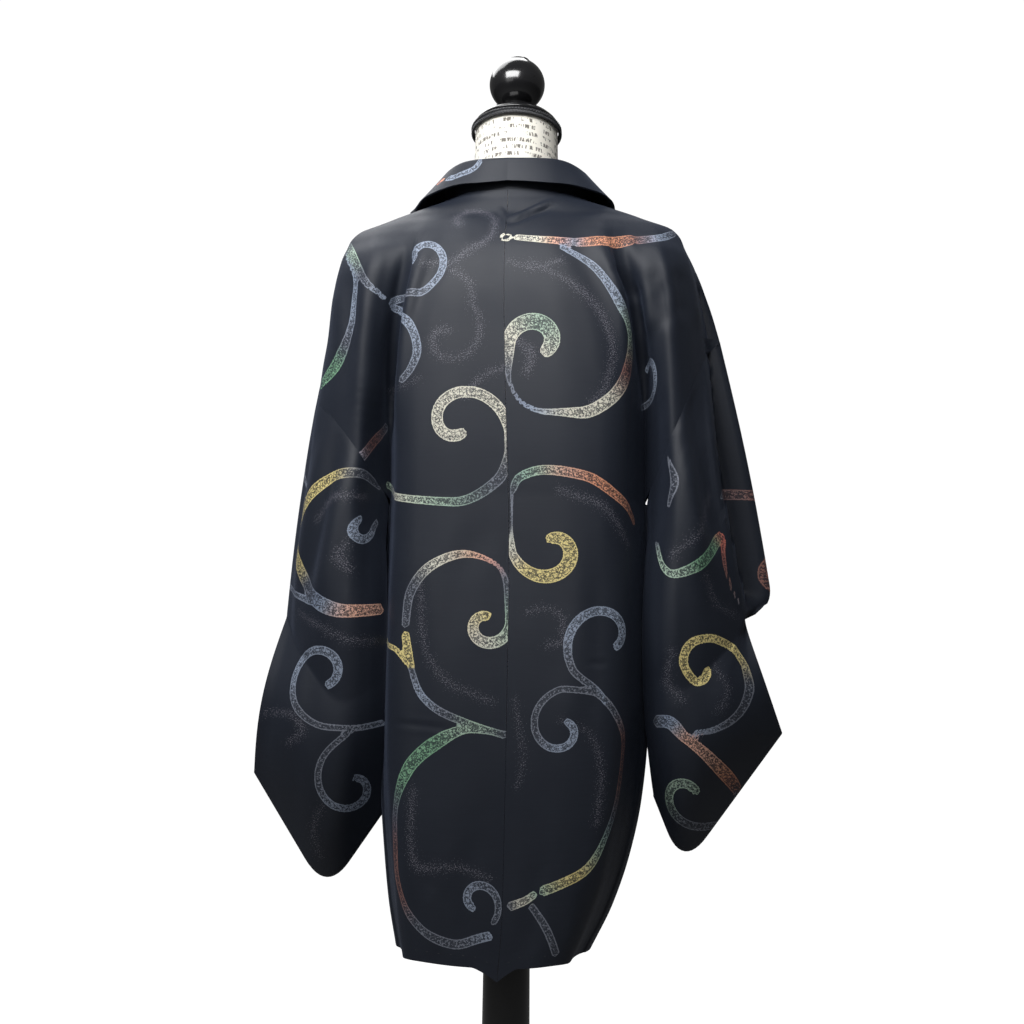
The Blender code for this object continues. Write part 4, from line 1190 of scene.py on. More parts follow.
braid = {
    "scale": 420.0,
    "bend": 1.5,
    "colors": ((0.010, 0.010, 0.012, 1.0), (0.040, 0.041, 0.046, 1.0)),
    "roughness": 0.44,
    "bump": (0.4, 0.0004),
}


def braidFinish():
    made, body, g = newLook("blackBraid", Roughness=braid["roughness"])
    place = g.add("TexCoord").outputs["Object"]
    strands = g.add(
        "TexWave", {"bands_direction": "DIAGONAL"}, Vector=place, Scale=braid["scale"],
        Distortion=braid["bend"],
    ).outputs["Fac"]
    g.feed(body, "Base Color", g.mix(strands, *braid["colors"]))
    g.bump(body, *braid["bump"], strands)
    return made


cotton = {
    "colors": ((0.78, 0.75, 0.66, 1.0), (0.88, 0.85, 0.78, 1.0)),
    "blotScale": 22.0,
    "threads": 950.0,
    "slub": 0.8,
    "rows": 115.0,  # of print, per metre
    "rowFade": (0.26, 0.30),
    "dabStretch": 520.0,
    "dabSpan": (0.50, 0.53),
    "gapScale": 75.0,
    "gapSpan": (0.40, 0.46),
    "ink": (0.07, 0.06, 0.05, 1.0),
    "inkShare": 0.88,
    "roughness": 0.86,
    "sheen": 0.12,
    "bump": (0.35, 0.0004),
}


def cottonFinish():
    # pale cotton cover, printed with rows of small dark dabs that spell nothing
    made, body, g = newLook("printedCotton", Roughness=cotton["roughness"], Sheen_Weight=cotton["sheen"])
    place = g.add("UVMap", {"uv_map": "clothMap"}).outputs[0]
    weave = g.add("Group", {"node_tree": weaveTree}, i0=place, i1=cotton["threads"], i2=cotton["slub"])
    color = g.mix(g.noise(place, cotton["blotScale"], 3.0), *cotton["colors"])
    parts = g.add("SeparateXYZ", i0=place)
    rowOf = g.math("FRACT", g.times(parts.outputs[1], cotton["rows"]))
    inRow = g.step(g.math("ABSOLUTE", g.math("SUBTRACT", rowOf, 0.5)), cotton["rowFade"], (1.0, 0.0))
    stretch = (cotton["dabStretch"], cotton["rows"], 1.0)
    dabs = g.step(g.noise(g.vector("MULTIPLY", place, i1=stretch), 1.0), cotton["dabSpan"])
    gaps = g.step(g.noise(place, cotton["gapScale"], 0.0), cotton["gapSpan"])
    ink = g.times(g.times(dabs, inRow), gaps)
    g.feed(body, "Base Color", g.mix(g.times(ink, cotton["inkShare"]), color, cotton["ink"]))
    g.bump(body, *cotton["bump"], weave.outputs[0])
    return made


scrollSilk = silkFinish()
plumLining = liningFinish()
blackThread = threadFinish()
blackLacquer = lacquerFinish()
blackBraid = braidFinish()
printedCotton = cottonFinish()
print("stage 3: finishes")

# The back's scrolls are laid out in the camera's view, in units from its upper left corner: the eye of a
# spiral, how far it grows, its start and sweep in degrees, its stem, and half widths and colors from end to
# end. The fronts' are in metres, x and z, for the left side, each stem counted from its spiral's end.
view = {
    "wide": 1024.0,  # units
    "size": 0.00115,  # metres on the cloth for one unit
    "bandSize": 0.001346,  # the same for a colored band's half width
    "near": 3.0,  # units
    "sameFold": 0.006,  # metres nearer or farther from the camera
}
inked = {
    "spiralSteps": 26,
    "step": 0.0012,  # metres along a scroll's middle line
    "bluntEnd": 0.0008,
    "bandReach": 0.022,  # how far off the line its distances are kept
    "paleReach": 0.030,
    "portion": 4000,  # points at a time
}
tintColors = {
    "mist": (0.250, 0.295, 0.380, 0.88),
    "cream": (0.640, 0.620, 0.520, 0.84),
    "sage": (0.360, 0.480, 0.380, 0.70),
    "straw": (0.700, 0.590, 0.250, 0.80),
    "amber": (0.640, 0.290, 0.170, 0.78),
    "rust": (0.520, 0.150, 0.110, 0.78),
    "rose": (0.660, 0.380, 0.280, 0.75),
    "leaf": (0.190, 0.370, 0.230, 0.72),
    "ash": (0.170, 0.185, 0.225, 0.55),
    "bark": (0.270, 0.130, 0.105, 0.60),
}
scrolls = {
    "bodyBackLeft": [
        {"eye": (506, 238), "grow": (5, 5), "turn": (0, 370), "half": (1.3, 1.3), "tints": "cream cream"},
        {"stem": [(345, 246), (355, 275), (355, 305), (348, 340), (335, 368), (319, 388)],
         "half": (1.6, 3, 3.4, 3.8, 5, 3.4), "tints": "mist mist mist ash leaf leaf"},
        {"stem": [(386, 426), (370, 445), (354, 462)], "half": (4, 4.4, 3.6), "tints": "ash bark mist"},
        {"eye": (421, 257), "grow": (7, 31), "turn": (225, -275),
         "stem": [(418, 293), (402, 299), (389, 303)],
         "half": (4.6, 3.6, 3.6, 3.2), "tints": "mist mist mist ash mist"},
        {"stem": [(384, 299), (369, 285), (355, 260), (345, 243)], "half": (3, 4.5, 6, 6.5),
         "tints": "mist ash sage ash"},
        {"stem": [(388, 304), (408, 322), (418, 350), (412, 368), (401, 382)], "half": (3, 4, 4.2, 3.2),
         "tints": "mist mist ash"},
        {"eye": (457, 424), "grow": (9, 70), "turn": (-40, -375),
         "stem": [(455, 502), (420, 500), (386, 484)],
         "half": (5.2, 5, 4.6, 3.4, 3.2), "tints": "cream cream cream ash sage cream sage"},
        {"eye": (486, 625), "grow": (8, 25), "turn": (60, 305),
         "stem": [(508, 590), (498, 566), (465, 554), (430, 567), (409, 600), (406, 628)],
         "half": (4, 5, 4.6, 1.8, 3.8, 4.6, 3.6), "tints": "straw cream sage ash rose cream ash ash"},
        {"stem": [(406, 632), (409, 655), (412, 668)], "half": (3.6, 4, 3.2), "tints": "straw straw"},
        {"stem": [(411, 666), (420, 692), (440, 711), (470, 724), (507, 736)], "half": (2.6, 3.2, 3.4, 3, 3),
         "tints": "ash mist ash sage ash"},
        {"stem": [(378, 637), (395, 648), (409, 664)], "half": (2.4, 2.4, 2.4), "tints": "straw straw"},
        {"stem": [(507, 734), (470, 729), (433, 745), (408, 770), (396, 820), (397, 864), (405, 903),
          (426, 932), (455, 944), (492, 935)],
         "half": (2.4, 3.6, 6.2, 5.2, 3.4, 3.2, 3, 3.6, 4, 3.4),
         "tints": "ash sage leaf leaf ash bark bark ash ash mist"},
        {"eye": (478, 900), "grow": (8, 24), "turn": (-100, -310), "stem": [(492, 924)],
         "half": (3.6, 3.5, 2.4), "tints": "mist ash"},
    ],
    "bodyBackRight": [
        {"eye": (650, 374), "grow": (8, 27), "turn": (170, -250), "stem": [(641, 408)],
         "half": (2.8, 3.4, 2.8), "tints": "mist mist ash"},
        {"stem": [(669, 456), (675, 478), (669, 507)], "half": (1.4, 3, 2), "tints": "ash ash"},
        {"stem": [(514, 238), (540, 240), (575, 243)], "half": (3.3, 4, 4.6),
         "tints": "cream cream rose mist"},
        {"eye": (506, 238), "grow": (5, 5), "turn": (0, 370), "half": (1.3, 1.3), "tints": "cream cream"},
        {"stem": [(572, 243), (605, 242), (636, 241)], "half": (4.6, 6, 6.6),
         "tints": "mist amber amber bark"},
        {"stem": [(634, 242), (655, 240), (674, 234)], "half": (5, 5, 4), "tints": "bark mist ash"},
        {"eye": (537, 342), "grow": (12, 29), "turn": (-70, 250),
         "stem": [(508, 372), (519, 400), (545, 412), (580, 413), (610, 399), (626, 372), (630, 340),
          (618, 300), (595, 268), (560, 247)],
         "half": (6.2, 7.6, 5.8, 1.8, 2.6, 5.4, 5.4, 4.4, 4, 3.6, 2.6),
         "tints": "cream sage cream ash mist cream cream bark sage mist mist mist"},
        {"stem": [(512, 492), (519, 478), (545, 470), (585, 476), (615, 495), (634, 524)],
         "half": (3, 4, 4.4, 4.4, 4, 3.6), "tints": "ash sage rose amber amber amber"},
        {"eye": (553, 549), "grow": (9, 41), "turn": (125, -300), "stem": [(511, 525), (512, 492)],
         "half": (4.8, 6.2, 5.8, 4.2, 1.6, 1.4), "tints": "straw straw straw straw cream ash ash"},
        {"eye": (607, 637), "grow": (12, 48), "turn": (-60, 285), "stem": [(596, 690), (607, 704)],
         "half": (3.9, 4, 3.9, 3.2, 2.8), "tints": "mist mist mist ash mist"},
        {"eye": (562, 730), "grow": (8, 40), "turn": (80, -350),
         "stem": [(592, 692), (614, 713), (623, 748), (617, 791), (604, 838), (585, 870), (560, 884),
          (540, 892)],
         "half": (3.4, 3.3, 3, 2.8, 3, 3.3, 3.4, 3, 4, 4.4),
         "tints": "mist mist ash ash ash ash bark bark ash sage straw sage"},
        {"stem": [(536, 893), (524, 901), (508, 907)], "half": (3.2, 3.6, 4), "tints": "sage cream ash"},
        {"stem": [(530, 904), (545, 926), (556, 955)], "half": (3, 3.2, 3.2), "tints": "ash ash"},
    ],
    "sleeveBackLeft": [
        {"stem": [(380, 488), (358, 473), (336, 476), (310, 497), (298, 535), (300, 566), (315, 598),
          (346, 611), (382, 609)],
         "half": (2.6, 4.4, 5.4, 5.8, 5, 5, 6.6, 5.6, 4.8),
         "tints": "ash ash straw straw straw straw ash mist rose rose"},
        {"stem": [(276, 581), (292, 590), (312, 602)], "half": (2, 2.6, 3.2), "tints": "ash mist"},
        {"eye": (362, 527), "grow": (9, 16), "turn": (105, 255), "stem": [(378, 520)], "half": (3.6, 4.2, 3),
         "tints": "mist mist ash"},
        {"stem": [(302, 455), (304, 475), (305, 500)], "half": (1.6, 2, 1.4), "tints": "ash ash"},
        {"stem": [(293, 448), (297, 462)], "half": (2.6, 2.6), "tints": "bark rust"},
        {"stem": [(288, 500), (290, 520)], "half": (2.4, 2.4), "tints": "bark rust"},
        {"eye": (323, 674), "grow": (12, 54), "turn": (-70, 345), "stem": [(350, 728), (384, 722)],
         "half": (4, 3.9, 3.6, 3.2, 2.8, 2.8), "tints": "mist mist mist ash ash mist"},
        {"eye": (353, 786), "grow": (8, 44), "turn": (100, -325), "stem": [(349, 731)],
         "half": (3.6, 3.4, 3, 2.6), "tints": "mist mist ash ash"},
    ],
    "sleeveBackRight": [
        {"stem": [(669, 456), (675, 478), (669, 507)], "half": (1.4, 3, 2), "tints": "ash ash"},
        {"stem": [(657, 542), (664, 566), (674, 574), (693, 568), (709, 554), (721, 534)],
         "half": (2.6, 3, 3.8, 4.6, 4.6, 3.6), "tints": "ash sage sage leaf leaf rust"},
        {"stem": [(722, 537), (723, 562), (729, 586), (741, 608)], "half": (2.4, 2.4, 2, 1.4),
         "tints": "rust bark ash"},
        {"stem": [(707, 667), (706, 677), (697, 682), (688, 674), (683, 662), (686, 649), (696, 640),
          (709, 638), (723, 643), (736, 654), (744, 668), (748, 684), (746, 699), (738, 713), (725, 724),
          (708, 731), (692, 733)],
         "half": (3.9, 3.8, 3.6, 3.6, 3.9, 4, 3.8, 3.4, 2.8, 2.3),
         "tints": "straw straw straw straw ash ash mist"},
        {"stem": [(655, 721), (667, 721), (684, 736), (704, 753), (721, 770), (737, 791)],
         "half": (5.4, 5.4, 4.2, 5, 5.6, 4.6), "tints": "ash mist rose rose amber bark"},
        {"eye": (688, 794), "grow": (7, 50), "turn": (10, 330), "stem": [(734, 794)],
         "half": (4.2, 4.2, 4, 3.2, 2.2), "tints": "sage sage ash ash ash"},
        {"stem": [(720, 497), (737, 495), (756, 496)], "half": (4.6, 4.8, 4.6), "tints": "ash bark"},
        {"stem": [(770, 556), (761, 572), (772, 594)], "half": (3, 3.2, 3), "tints": "bark bark"},
    ],
    "collar": [
        {"stem": [(482, 161), (474, 168), (464, 173), (454, 177), (447, 178)], "half": (2.4, 2.8, 3, 3, 2.6),
         "tints": "mist mist mist mist"},
        {"stem": [(444, 179), (438, 180), (432, 180)], "half": (3, 3.2, 2.8), "tints": "amber rust"},
    ],
}
frontScrolls = {
    "bodyFront": [
        {"eye": (0.118, 1.225), "grow": (0.007, 0.03), "turn": (270, -300),
         "stem": [(0.004, -0.03), (0.02, -0.055), (0.04, -0.07)], "half": (0.0062, 0.0056, 0.0048, 0.0036),
         "tints": ("mist cream sage mist", "cream sage ash mist")},
        {"eye": (0.125, 0.985), "grow": (0.009, 0.04), "turn": (120, 330),
         "stem": [(-0.02, 0.004), (-0.035, -0.01)], "half": (0.0068, 0.006, 0.005, 0.003),
         "tints": ("straw cream ash mist", "rose amber ash bark")},
        {"eye": (0.105, 0.7), "grow": (0.008, 0.034), "turn": (180, -320),
         "stem": [(-0.005, -0.04), (-0.03, -0.08), (-0.04, -0.12)], "half": (0.0064, 0.0056, 0.0046, 0.0036),
         "tints": ("mist ash leaf mist", "sage mist ash mist")},
    ],
    "sleeveFront": [
        {"eye": (0.228, 0.93), "grow": (0.009, 0.044), "turn": (150, 340),
         "stem": [(-0.01, 0.03), (-0.035, 0.06)], "half": (0.007, 0.0066, 0.0054, 0.0034),
         "tints": ("cream rose amber ash", "straw straw ash mist")},
        {"eye": (0.215, 0.7), "grow": (0.008, 0.036), "turn": (0, -300),
         "stem": [(-0.012, 0.03), (-0.01, 0.07), (0.01, 0.1)], "half": (0.0062, 0.0058, 0.005, 0.0036),
         "tints": ("mist sage mist ash", "mist mist leaf ash")},
    ],
}
paleScrolls = {
    "bodyBackLeft": [
        {"eye": (468, 222), "grow": (10, 42), "turn": (-150, -290), "stem": [(448, 264), (424, 263)],
         "half": (7, 6, 6, 5)},
        {"eye": (446, 338), "grow": (8, 44), "turn": (80, 330), "stem": [(470, 285), (448, 267)],
         "half": (6, 5, 5, 5)},
        {"stem": [(505, 367), (481, 378), (466, 396)], "half": (5, 5, 5)},
        {"stem": [(421, 585), (424, 640), (447, 681), (493, 702)], "half": (5, 5, 5, 4)},
        {"stem": [(413, 790), (411, 840), (420, 868), (456, 867), (488, 878)], "half": (5, 5, 6, 5, 5)},
        {"stem": [(386, 388), (400, 388), (420, 378)], "half": (3, 3, 3)},
    ],
    "bodyBackRight": [
        {"stem": [(509, 262), (533, 268), (562, 261)], "half": (4, 5, 5)},
        {"stem": [(530, 262), (575, 286), (603, 318), (612, 350), (606, 385), (590, 404)],
         "half": (4, 5, 6, 6, 6, 5)},
        {"stem": [(516, 340), (532, 355), (527, 372)], "half": (5, 7, 6)},
        {"stem": [(528, 612), (545, 608), (563, 620), (563, 642), (548, 645)], "half": (4, 4, 5, 5, 5)},
        {"stem": [(560, 720), (590, 735), (601, 777), (596, 822)], "half": (3, 4, 5, 5)},
        {"stem": [(560, 490), (600, 505), (628, 545)], "half": (5, 6, 5)},
        {"stem": [(515, 700), (523, 760), (518, 785)], "half": (4, 4, 4)},
    ],
    "sleeveBackLeft": [
        {"stem": [(365, 497), (335, 497), (318, 520)], "half": (5, 6, 5)},
        {"stem": [(345, 543), (338, 556), (350, 570)], "half": (5, 7, 5)},
        {"stem": [(300, 612), (325, 628), (350, 640), (375, 642)], "half": (4, 5, 5, 4)},
        {"stem": [(268, 712), (290, 713), (303, 730), (290, 742)], "half": (4, 5, 6, 5)},
        {"stem": [(322, 805), (314, 830), (320, 855)], "half": (4, 5, 4)},
    ],
    "sleeveBackRight": [
        {"stem": [(707, 497), (697, 535), (672, 556)], "half": (4, 5, 4)},
        {"stem": [(705, 575), (712, 600), (735, 617)], "half": (4, 5, 4)},
        {"stem": [(672, 650), (668, 680), (682, 700)], "half": (4, 5, 4)},
        {"stem": [(714, 665), (727, 690), (718, 712)], "half": (4, 4, 4)},
    ],
}
frontShift = (-0.004, 0.022)  # the right front's scrolls lie this much off the mirrored left ones


def seenPlaces(points):
    # where the camera sees each point, how far ahead of the camera it is, and units for a metre at one metre
    toCamera = np.array(shotMatrix().inverted())
    local = points @ toCamera[:3, :3].T + toCamera[:3, 3]
    focal = shot["lens"] / shot["sensor"] * view["wide"]
    return view["wide"] / 2 + focal * local[:, :2] * (-1.0, 1.0) / local[:, 2:], -local[:, 2], focal


def frontPlans(title):
    # one front's scrolls, each stem counted from its spiral's end
    right = title.endswith("Right")
    sign = -1 if right else 1
    made = []
    layer = title.removesuffix("Right").removesuffix("Left")
    for plan in frontScrolls.get(layer, []):
        start, sweep = plan["turn"]
        eye = plan["eye"]
        if right:
            start, sweep = 180 - start, -sweep
            eye = (-eye[0] + frontShift[0], eye[1] + frontShift[1])
        last = math.pi - math.radians(start + sweep)
        end = (eye[0] + plan["grow"][1] * math.cos(last), eye[1] + plan["grow"][1] * math.sin(last))
        stem = [(end[0] + sign * x, end[1] + z) for x, z in plan["stem"]]
        tints = plan["tints"][int(right)]
        made.append({**plan, "eye": eye, "turn": (start, sweep), "stem": stem, "tints": tints})
    return made


def scrollLine(plan, settle, size):
    # a spiral that grows by the same share each turn, and then a stem through its own points
    parts = []
    if "eye" in plan:
        eye = settle([plan["eye"]])[0]
        low, high = np.array(plan["grow"]) * size
        start, sweep = plan["turn"]
        t = np.linspace(0.0, 1.0, inked["spiralSteps"])
        angle = math.pi - np.radians(start + sweep * t)
        reach = low * (high / low) ** t
        parts.append(eye + np.stack([np.cos(angle), np.sin(angle)], axis=1) * reach[:, None])
    if "stem" in plan:
        parts.append(settle(plan["stem"]))
    return denseLine(np.vstack(parts), inked["step"])


def nearLine(flat, line, margin):
    # which points lie near the line, how far off, and the nearest place on it
    low, high = line.min(axis=0) - margin, line.max(axis=0) + margin
    chosen = np.nonzero(np.all((flat > low) & (flat < high), axis=1))[0]
    apart, nearest = np.empty(len(chosen)), np.empty(len(chosen), dtype=int)
    for begin in range(0, len(chosen), inked["portion"]):
        part = slice(begin, begin + inked["portion"])
        gap = np.linalg.norm(flat[chosen[part]][:, None, :] - line[None, :, :], axis=2)
        nearest[part] = gap.argmin(axis=1)
        apart[part] = gap.min(axis=1)
    return chosen, apart, nearest


def scrollField(title, flat, rows):
    # how far each point is from the edge of a scroll, below 0 inside, and the scroll's color there
    edge = np.full((len(flat), 2), 1.0)
    tint = np.zeros((len(flat), 4))
    spots = np.vstack(rows)
    seen, ahead, focal = seenPlaces(spots)
    right, up = np.array(shotMatrix())[[0, 2], :2].T

    def settleSeen(points):
        # the nearest point of the fold that faces the camera, and the rest of the way beside it
        found = []
        for point in points:
            gap = np.linalg.norm(seen - point, axis=1)
            close = np.nonzero(gap < gap.min() + view["near"])[0]
            close = close[ahead[close] < ahead[close].min() + view["sameFold"]]
            nearest = close[gap[close].argmin()]
            off = (point - seen[nearest]) * ahead[nearest] / focal
            found.append(flat[nearest] + (0.0 if title == "collar" else off[0] * right - off[1] * up))
        return np.array(found)

    def settleOnCloth(points):
        # the nearest point in x and z
        found = []
        for point in points:
            nearest = np.argmin(np.sum((spots[:, [0, 2]] - point) ** 2, axis=1))
            found.append(flat[nearest] + point - spots[nearest, [0, 2]])
        return np.array(found)

    plans = [(plan, settleSeen, view["size"], view["bandSize"], 0) for plan in scrolls.get(title, [])]
    plans += [(plan, settleOnCloth, 1.0, 1.0, 0) for plan in frontPlans(title)]
    plans += [(plan, settleSeen, view["size"], view["size"], 1) for plan in paleScrolls.get(title, [])]
    for plan, settle, size, bandSize, pale in plans:
        line = scrollLine(plan, settle, size)
        place = np.linspace(0.0, 1.0, len(line))
        half = np.array(plan["half"]) * bandSize
        half = through(np.linspace(0.0, 1.0, len(half)), half, place)[:, 0]
        if not pale:
            # round ends
            ends = np.minimum(place, 1.0 - place) * len(line) * inked["step"]
            cut = np.sqrt(np.maximum(0.0, half ** 2 - np.maximum(0.0, half - ends) ** 2))
            half = np.minimum(half, cut + inked["bluntEnd"])
        chosen, apart, nearest = nearLine(flat, line, inked["paleReach" if pale else "bandReach"])
        away = apart - half[nearest]
        closer = away < edge[chosen, pale]
        edge[chosen[closer], pale] = away[closer]
        if not pale:
            colors = np.array([tintColors[word] for word in plan["tints"].split()])
            colors = through(np.linspace(0.0, 1.0, len(colors)), colors, place)
            tint[chosen[closer]] = colors[nearest[closer]]
    return edge, tint


def layerOf(rows, coords, turned, title):
    return rows, coords, turned, scrollField(title, np.vstack(coords), rows) if title else None


def roundFold(rows, facing):
    # the sleeve's shoulder fold is soft, not a knife edge
    made = []
    last = len(rows) - 1
    for k, row in enumerate(rows):
        share = k / last
        row = row.copy()
        if share < jacket["wristShare"]:
            fromFold = walkedAlong(row[::-1])[::-1]
            t = np.clip(fromFold / jacket["foldReach"], 0.0, 1.0)
            swell = np.sqrt(np.maximum(0.0, 1.0 - (1.0 - t) ** 2)) * (1.0 - ease((fromFold - 0.03) / 0.05))
            blend = min(1.0, share / 0.06) * min(1.0, (jacket["wristShare"] - share) / 0.05)
            row[:, 1] += facing * jacket["foldSwell"] * swell * blend
        made.append(row)
    return made


def flatPlaces(rows):
    # the cloth laid flat: its own length across, from the seam on, and its height
    made = []
    for row in rows:
        across, away = np.diff(row[:, 0]), np.diff(row[:, 1])
        longer = np.concatenate([[0.0], np.cumsum(np.hypot(across, away) - np.abs(across))])
        made.append(np.stack([row[:, 0] + np.sign(row[-1, 0] - row[0, 0]) * longer, row[:, 2]], axis=1))
    return made


stitch = {
    "length": 0.0024,
    "width": 0.00042,
    "uneven": 0.12,
    "lift": 0.00205,  # off the plain shape
    "hemPitch": 0.014,
    "frontPitch": 0.011,
    "sleevePitch": 0.010,
}


def sewSide(name, outside):
    # short running stitches along the hem, the front's edge, the sleeve's lower edge and its mouth
    back, front, sleeveBack, sleeveFront = outside
    wrist = int(jacket["wristShare"] * jacket["sleeveRows"]) + 2
    last = jacket["sleeveRows"]
    panel = jacket["panelColumns"]
    # rows, the line's places on them, the pitch, and which way is outside
    lines = [
        (back, [(len(back) - 5, i) for i in range(2, panel - 1)], stitch["hemPitch"], 1.0),
        (front, [(len(front) - 5, i) for i in range(3, panel - 1)], stitch["hemPitch"], -1.0),
        (front, [(k, 1) for k in range(12, len(front) - 3)], stitch["frontPitch"], -1.0),
    ]
    for rows, facing in ((sleeveBack, 1.0), (sleeveFront, -1.0)):
        edge = len(rows[0]) - 2
        lines.append((rows, [(last - 1, i) for i in range(2, edge)], stitch["sleevePitch"], facing))
        lines.append((rows, [(k, edge) for k in range(wrist + 5, last - 1)], stitch["sleevePitch"], facing))
    spots, ways, outs = [], [], []
    for rows, path, pitch, facing in lines:
        place, way, out = along(rows, path, pitch)
        if out.mean(axis=0)[1] * facing < 0.0:
            out = -out
        spots.append(place + out * stitch["lift"])
        ways.append(way)
        outs.append(out)
    size = stitch["length"], stitch["width"]
    spots, ways, outs = np.vstack(spots), np.vstack(ways), np.vstack(outs)
    return layThreads("stitches" + name, spots, ways, outs, *size, blackThread, stitch["uneven"])


def buildJacket():
    made = {}
    looks = [scrollSilk, plumLining]
    backWay, frontWay = np.array([0.0, 1.0, 0.0]), np.array([0.0, -1.0, 0.0])
    # which sides of a layer keep their place: each row's start and end, the top and the bottom
    keepBody, keepSleeve = (True, True, True, False), (False, True, True, True)
    for side in (leftSide, rightSide):
        name = side["name"]
        title = name.capitalize()
        flip = side["sign"] < 0
        back = creased("bodyBack" + title, bodyRows(side, False), backWay, keepBody)
        for row in back:
            row[:, 1] -= lapIn(side, row)
        front = creased("bodyFront" + title, bodyRows(side, True), frontWay, keepBody)
        layers = [
            layerOf(back, clothCoords(back, side["sign"], 0.0), not flip, "bodyBack" + title),
            layerOf(front, clothCoords(front, side["sign"], jacket["frontStart"]), flip, "bodyFront" + title),
        ]
        made["body" + title] = shellPiece("body" + title, layers, looks)
        bodyBack, bodyFront = back, front
        gusset = gussetRows(side)
        layers = [layerOf(gusset, clothCoords(gusset), not flip, None)]
        made["gusset" + title] = shellPiece("gusset" + title, layers, looks)
        back = creased("sleeveBack" + title, sleeveRows(side, False), backWay, keepSleeve)
        front = creased("sleeveFront" + title, sleeveRows(side, True), frontWay, keepSleeve)
        back, front = roundFold(back, 1.0), roundFold(front, -1.0)
        for row in back:
            row[:, 1] -= lapIn(side, row)
        # the lower edge is closed by a narrow strip
        middle = 0.5 * (back[-1] + front[-1]) - np.array([0.0, 0.0, jacket["stripDrop"]])
        strip = [back[-1], middle, front[-1]]
        layers = [
            layerOf(back, flatPlaces(back), not flip, "sleeveBack" + title),
            layerOf(front, flatPlaces(front), flip, "sleeveFront" + title),
            layerOf(strip, flatPlaces(strip), not flip, None),
        ]
        made["sleeve" + title] = shellPiece("sleeve" + title, layers, looks)
        stitches["stitches" + title] = sewSide(title, (bodyBack, bodyFront, back, front))
        print("   ", name, "side sewn")
    return made


# the collar, a strip folded outwards along its middle
collar = {
    "wall": 0.0022,
    "bend": 0.0030,
    "bendSteps": 8,
    "neckSteps": 110,
    "frontSteps": 300,
    "legSteps": 12,
    "point": (0.014, 1.012, 0.05),  # the wearer's left point reaches further out: how much, where, how wide
    "wave": 0.0014,
    "behind": 0.0008,
    "rise": (0.0003, 0.0017, -0.0012),  # everywhere, and more at the neck point and at the centre back
    "riseReach": 0.85,
    # at, turn, stand, fall, lean, open: 0 centre back, 1 neck point, 2 hem
    "settings": np.array([
        (0.000, 0.00, 0.040, 0.028, 0.0, 9.0),
        (0.450, 0.00, 0.038, 0.032, 4.0, 22.0),
        (0.800, 0.00, 0.029, 0.040, 17.0, 56.0),
        (1.000, 0.02, 0.026, 0.041, 22.0, 66.0),
        (1.012, 0.14, 0.026, 0.041, 20.0, 62.0),
        (1.030, 0.34, 0.027, 0.040, 14.0, 50.0),
        (1.060, 0.62, 0.029, 0.038, 6.0, 32.0),
        (1.110, 0.86, 0.031, 0.036, 0.0, 18.0),
        (1.200, 1.00, 0.033, 0.035, 0.0, 9.0),
        (2.000, 1.00, 0.033, 0.035, 0.0, 7.0),
    ]),
}


def collarSeam(side):
    top = yokeLevels[0, 0]
    places = np.linspace(0.0, 1.0, collar["neckSteps"] + 1)
    line = [(place, point) for place, point in zip(places, skinRow(side, top, places))]
    marks = np.linspace(0.0, 1.0, collar["frontSteps"] + 1)[1:]
    for mark in marks:
        z = top + (jacket["hemZ"] - top) * (0.35 * mark + 0.65 * mark ** 1.6)
        line.append((1.0 + (top - z) / (top - jacket["hemZ"]), skinRow(side, z, 2.0)[0]))
    return line


def collarOutline(stand, fall, angle):
    # closed outline of the folded strip in its own plane: out along x, up along y
    bend, steps = collar["bend"], collar["legSteps"]
    line = [(0.0, y) for y in np.linspace(0.0, stand - bend, steps + 1)]
    turn = math.pi - math.radians(angle)
    for t in np.linspace(0.0, 1.0, collar["bendSteps"] + 1)[1:]:
        a = math.pi - turn * t
        line.append((bend + bend * math.cos(a), stand - bend + bend * math.sin(a)))
    end = line[-1]
    down = (math.sin(math.radians(angle)), -math.cos(math.radians(angle)))
    line += [(end[0] + down[0] * d, end[1] + down[1] * d) for d in np.linspace(0.0, fall, steps + 1)[1:]]
    line = np.array(line)
    along = np.gradient(line, axis=0)
    along /= np.linalg.norm(along, axis=1, keepdims=True)
    across = np.stack([-along[:, 1], along[:, 0]], axis=1) * collar["wall"] / 2
    lengths = walkedAlong(line)
    return np.vstack([line + across, (line - across)[::-1]]), np.concatenate([lengths, lengths[::-1]])


